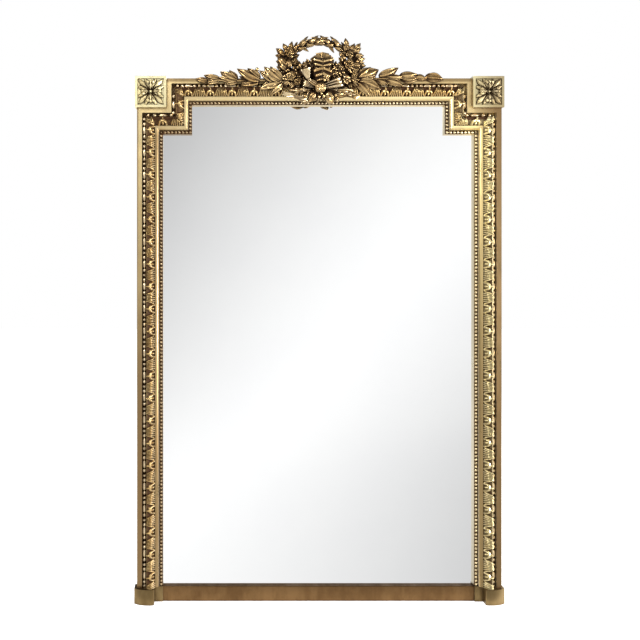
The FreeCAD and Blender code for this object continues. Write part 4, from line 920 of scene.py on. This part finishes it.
def bow(art):
    """Tied ribbon: gathered knot, loops, fluttering tails, and the leaves, buds and berries hung below."""
    knot = crest(-2, -34, -89)
    bow_loop(art, knot + (5, 2, 0), crest(60, -16, -88), 31, 8, 0.15, 4.2, folds=3.0)
    bow_loop(art, knot + (-34, 4, 20), crest(-46, 22, -86), 30, 4, 0.05, 0.0, pinch=0.08)
    leaf(art, knot + (-6, -3, 4), crest(-42, -9, -92), 15, rise=0.12, rows=22, tone=-0.3)
    bow_loop(art, knot + (-3, 8, 0), crest(-50, -20, -82), 18, 7, 0.45)
    for angle in np.linspace(-1.0, 1.0, 7):
        x, deep = 13.0 * sin(angle), 7 * cos(angle)
        arc = [knot + (0.75 * x, 5 - deep, 14), knot + (1.15 * x, -1 - deep, 5),
               knot + (1.15 * x, -1 - deep, -6), knot + (0.8 * x, 5 - deep, -14)]
        swelling = 2.4 * sin(pi * np.linspace(0.12, 0.88, 14)) ** 0.5
        tube(art, smooth(arc, 14), swelling, sides=9, cut=-0.5)
    ball(art, knot + (0, 4, 0), 12, rows=9, sides=16, squash=0.7, cut=1.0)
    right_tail = ((6, -42, -80), (30, -54, -76), (58, -58, -80), (84, -55, -74), (104, -62, -76),
                  (120, -54, -72))
    left_tail = ((-12, -44, -80), (-34, -60, -80), (-58, -67, -84), (-80, -59, -84), (-98, -54, -80),
                 (-114, -47, -76))
    share = np.linspace(0, 1, 48)
    for points, wide, turn, tone in ((right_tail, 16, 0.0, -0.3), (left_tail, 20, 0.6, -0.9)):
        across = UP + by(FRONT, 0.7 * sin(8.0 * share + turn))
        ribbon(art, smooth([crest(*point) for point in points], 48), across,
               wide * (0.5 + 0.5 * sin(pi * share ** 0.6)), 1.2 * (1 - share), notch=8, tone=tone)
    leaves(art, [(-16, -46, -58, -72, 20), (10, -46, 56, -70, 20), (-8, -48, -22, -72, 15),
                 (6, -48, 16, -72, 15), (-20, -40, -72, -38, 17), (18, -40, 70, -34, 17),
                 (-40, -42, -96, -40, 18), (40, -40, 104, -40, 20),
                 (60, -46, 112, -56, 16)], -73, lobes=3, bite=0.33, rise=0.14, rows=26, tone=-0.45)
    for x0, x1, z1, wide in ((-24, -52, -80, 26), (-12, -30, -71, 24), (-2, -6, -76, 20), (10, 14, -70, 22),
                             (22, 34, -80, 26), (34, 60, -72, 22)):
        leaf(art, crest(x0, -46, -80), crest(x1, z1, -53), wide, (0.006 * x1, -1, -0.55), rise=0.14,
             lobes=3, bite=0.30, rows=26, tone=-0.4)
    bud(art, crest(-18, -50, -86), crest(-36, -75, -72), 11.0, 7)
    bud(art, crest(18, -50, -88), crest(38, -80, -70), 13.0)
    berries(art, [(2, -52), (9, -60), (-5, -61), (44, -58), (50, -66), (-46, -60)], 5.2, -86)
    daisy(art, crest(14, -10, -98), 10.5, 4, turn=0.8)


# Stems as X and Z of their points, and leaves as leaves() takes them, all with X outwards from the middle
STEMS = {-1: ((112, -12), (180, -8), (246, -9), (330, -7)), 1: ((112, -8), (180, -3), (246, -1), (322, 2))}
SPRAYS = {
    -1: [(334, -7, 372, -2, 16), (300, -8, 340, -17, 15), (298, -5, 347, 9, 19), (248, -9, 304, 2, 17),
         (246, -10, 284, -20, 17), (246, -6, 270, 24, 20), (246, -8, 298, 18, 25), (180, -8, 242, 4, 18),
         (180, -10, 238, -25, 22), (178, -4, 216, 28, 24), (178, -8, 248, 27, 28), (116, -14, 170, -5, 18),
         (114, -17, 181, -35, 26), (116, -13, 182, 21, 24), (113, -9, 148, 34, 24), (114, -12, 167, 32, 28),
         (112, -18, 150, -54, 22)],
    1: [(318, 1, 371, -5, 23), (316, 3, 352, 13, 14), (284, 3, 324, -4, 15), (246, -6, 297, 0, 19),
        (238, 5, 294, 11, 22), (198, 2, 254, 3, 16), (197, -7, 251, -27, 20), (176, 2, 236, 30, 24),
        (170, -8, 207, -22, 17), (118, -11, 182, -36, 24), (114, -2, 152, 32, 26), (114, 0, 177, 24, 36),
        (122, -7, 167, 1, 17), (112, -16, 150, -56, 22), (116, -14, 168, -14, 18)],
}


def spray(art, side):
    """Laurel branch lying along the top of the frame, in whorls of long ribbed leaves."""
    stem = smooth([crest(side * x, z, -65) for x, z in STEMS[side]], 30)
    tube(art, stem, np.linspace(4.4, 2.2, 30), sides=9, cut=0.3)
    ribs, tone = (1.3, 0.04) if side < 0 else (1.0, 0.12)
    for n, (x0, z0, x1, z1, wide) in enumerate(SPRAYS[side]):
        depth = -64 - 0.5 * n
        up = 1 if z1 > z0 else -1
        front = (0.20 * side * sin(2.3 * n), -1, 0.35 * up * cos(1.3 * n))
        leaf(art, crest(side * x0, z0, depth), crest(side * x1, z1, depth + 2.0 * (n % 3)), 1.2 * wide, front,
             droop=0.0, cup=0.17, ribs=ribs, relief=0.055, thick=0.14, rows=22, half=8,
             sway=0.05 * side * up, shade=0.6, edge=1.1, tone=tone)
    if side < 0:
        tube(art, smooth([crest(-180, -4, -66), crest(-184, 10, -68), crest(-187, 20, -69)], 8), 1.8)
        ball(art, crest(-187, 24, -69), 6.0)


for name, make, *side in (
        ("patera_left", patera, -1), ("patera_right", patera, 1), ("wreath", wreath), ("crest_boss", boss),
        ("roses_left", flower_clump, -1), ("roses_right", flower_clump, 1), ("quiver", quiver),
        ("arrow_feathers", flights), ("ribbon_bow", bow), ("laurel_spray_left", spray, -1),
        ("laurel_spray_right", spray, 1)):
    art = Carving()
    make(art, *side)
    art.piece("carved_" + name, gilt_patera if make is patera else gilt_crest, "gilt_carving", name)


# Studio, in metres

scene = bpy.context.scene
DISTANCE, PLANE, PICTURE = 2.2, -0.058, 1.92
SHIFT_X, SHIFT_Y = 0.18, -0.09
MIDDLE_X, MIDDLE_Z = 0.002, 0.85
SENSOR = 36.0
lens = bpy.data.cameras.new("camera")
lens.sensor_width, lens.lens = SENSOR, SENSOR * DISTANCE / PICTURE
lens.shift_x, lens.shift_y = SHIFT_X, SHIFT_Y
camera = bpy.data.objects.new("camera", lens)
camera.location = MIDDLE_X - SHIFT_X * PICTURE, PLANE - DISTANCE, MIDDLE_Z - SHIFT_Y * PICTURE
camera.rotation_euler = (radians(90), 0, 0)
scene.collection.objects.link(camera)
scene.camera = camera
scene.view_settings.view_transform = "Standard"


def stage_sheet(*parts, **values):
    obj = new_object(*parts, **values)
    return obj


def floor_paint():
    f = Finish("pale_floor")
    cloud = f.noise(1.5, 3.0, 0.5)
    return f.set(Base_Color=f.mix(cloud, (0.93, 0.93, 0.925), (0.90, 0.90, 0.895)), Roughness=0.75,
                 Emission_Color=(1.0, 1.0, 1.0, 1.0), Emission_Strength=0.92)


STAGE = 9.0
stage_sheet("floor", [(-STAGE, -STAGE, 0), (STAGE, -STAGE, 0), (STAGE, STAGE, 0), (-STAGE, STAGE, 0)],
            [(0, 1, 2, 3)], floor_paint())


def reflector():
    """Curved light card before the mirror, from the floor up: a bright diagonal, greyer on both sides."""
    profile = smooth([(-0.10, 0.004), (-0.6, 0.004), (-1.2, 0.004), (-1.9, 0.02), (-2.6, 0.10), (-3.3, 0.40),
                      (-3.8, 0.95), (-4.1, 1.7), (-4.2, 2.6), (-4.2, 3.6), (-4.0, 4.6)], 80)
    rows, cols = len(profile), 150
    x, up = np.meshgrid(np.linspace(-STAGE, STAGE, cols), walked(profile))
    y, z = (np.repeat(profile[:, k], cols) for k in (0, 1))
    off_diagonal = np.abs(0.38 + (0.51 - 0.054 * up) * x - 0.186 * up)
    lit = np.maximum(0.55, 1.03 - 0.47 * (off_diagonal / 0.73) ** 1.43)
    fade = np.minimum(1.0, step(2.6, 7.0, np.abs(x)) + step(6.3, up.max(), up))
    quads = [(n, n + 1, n + cols + 1, n + cols) for i in range(rows - 1)
             for n in range(i * cols, (i + 1) * cols - 1)]
    f = Finish("light_card")
    strength = f.times(f.node("Attribute", "Fac", attribute_name="glow"), 1.12)
    f.tree.nodes.remove(f.shader)
    f.put(f.tree.nodes["Material Output"].inputs[0], f.node("Emission", 0, {"Strength": strength}))
    card = stage_sheet("light_card", np.stack([x.ravel(), y, z], -1), quads, f.material,
                       glow=(lit + (0.2 - lit) * fade).ravel())
    card.visible_camera = card.visible_diffuse = card.visible_shadow = card.visible_transmission = False


reflector()
unlit = bpy.data.collections.new("not_lit_by_lamps")
unlit.objects.link(nodes["mirror_glass"])
unlit.collection_objects[0].light_linking.link_state = "EXCLUDE"


def lamp(name, spot, aim, size, power):
    light = bpy.data.lights.new(name, "AREA")
    light.shape, light.size, light.energy = "DISK", size, power
    obj = bpy.data.objects.new(name, light)
    obj.light_linking.receiver_collection = unlit
    obj.location = spot
    obj.rotation_euler = (Vector(aim) - Vector(spot)).to_track_quat("-Z", "Y").to_euler()
    scene.collection.objects.link(obj)


lamp("key", (2.5, -1.1, 0.85), (0, 0, 1.0), 1.4, 135)
lamp("side", (-2.2, -2.4, 2.6), (0, 0, 1.3), 0.9, 48)
lamp("crown", (-0.8, -1.4, 2.8), (-0.1, 0, 1.65), 0.5, 22)
lamp("back", (0.8, 2.8, 2.2), (0, 0, 0.9), 1.6, 60)


def studio_air():
    """White surroundings for the eye, dimmer for the light that falls on the frame."""
    scene.world = bpy.data.worlds.new("studio")
    scene.world.use_nodes = True
    tree = scene.world.node_tree
    air, dim = tree.nodes["Background"], tree.nodes.new("ShaderNodeMapRange")
    seen = tree.nodes.new("ShaderNodeLightPath").outputs["Is Camera Ray"]
    air.inputs["Color"].default_value = (1.0, 1.0, 1.0, 1.0)
    dim.inputs["To Min"].default_value = 0.22
    tree.links.new(seen, dim.inputs["Value"])
    tree.links.new(dim.outputs[0], air.inputs["Strength"])


studio_air()
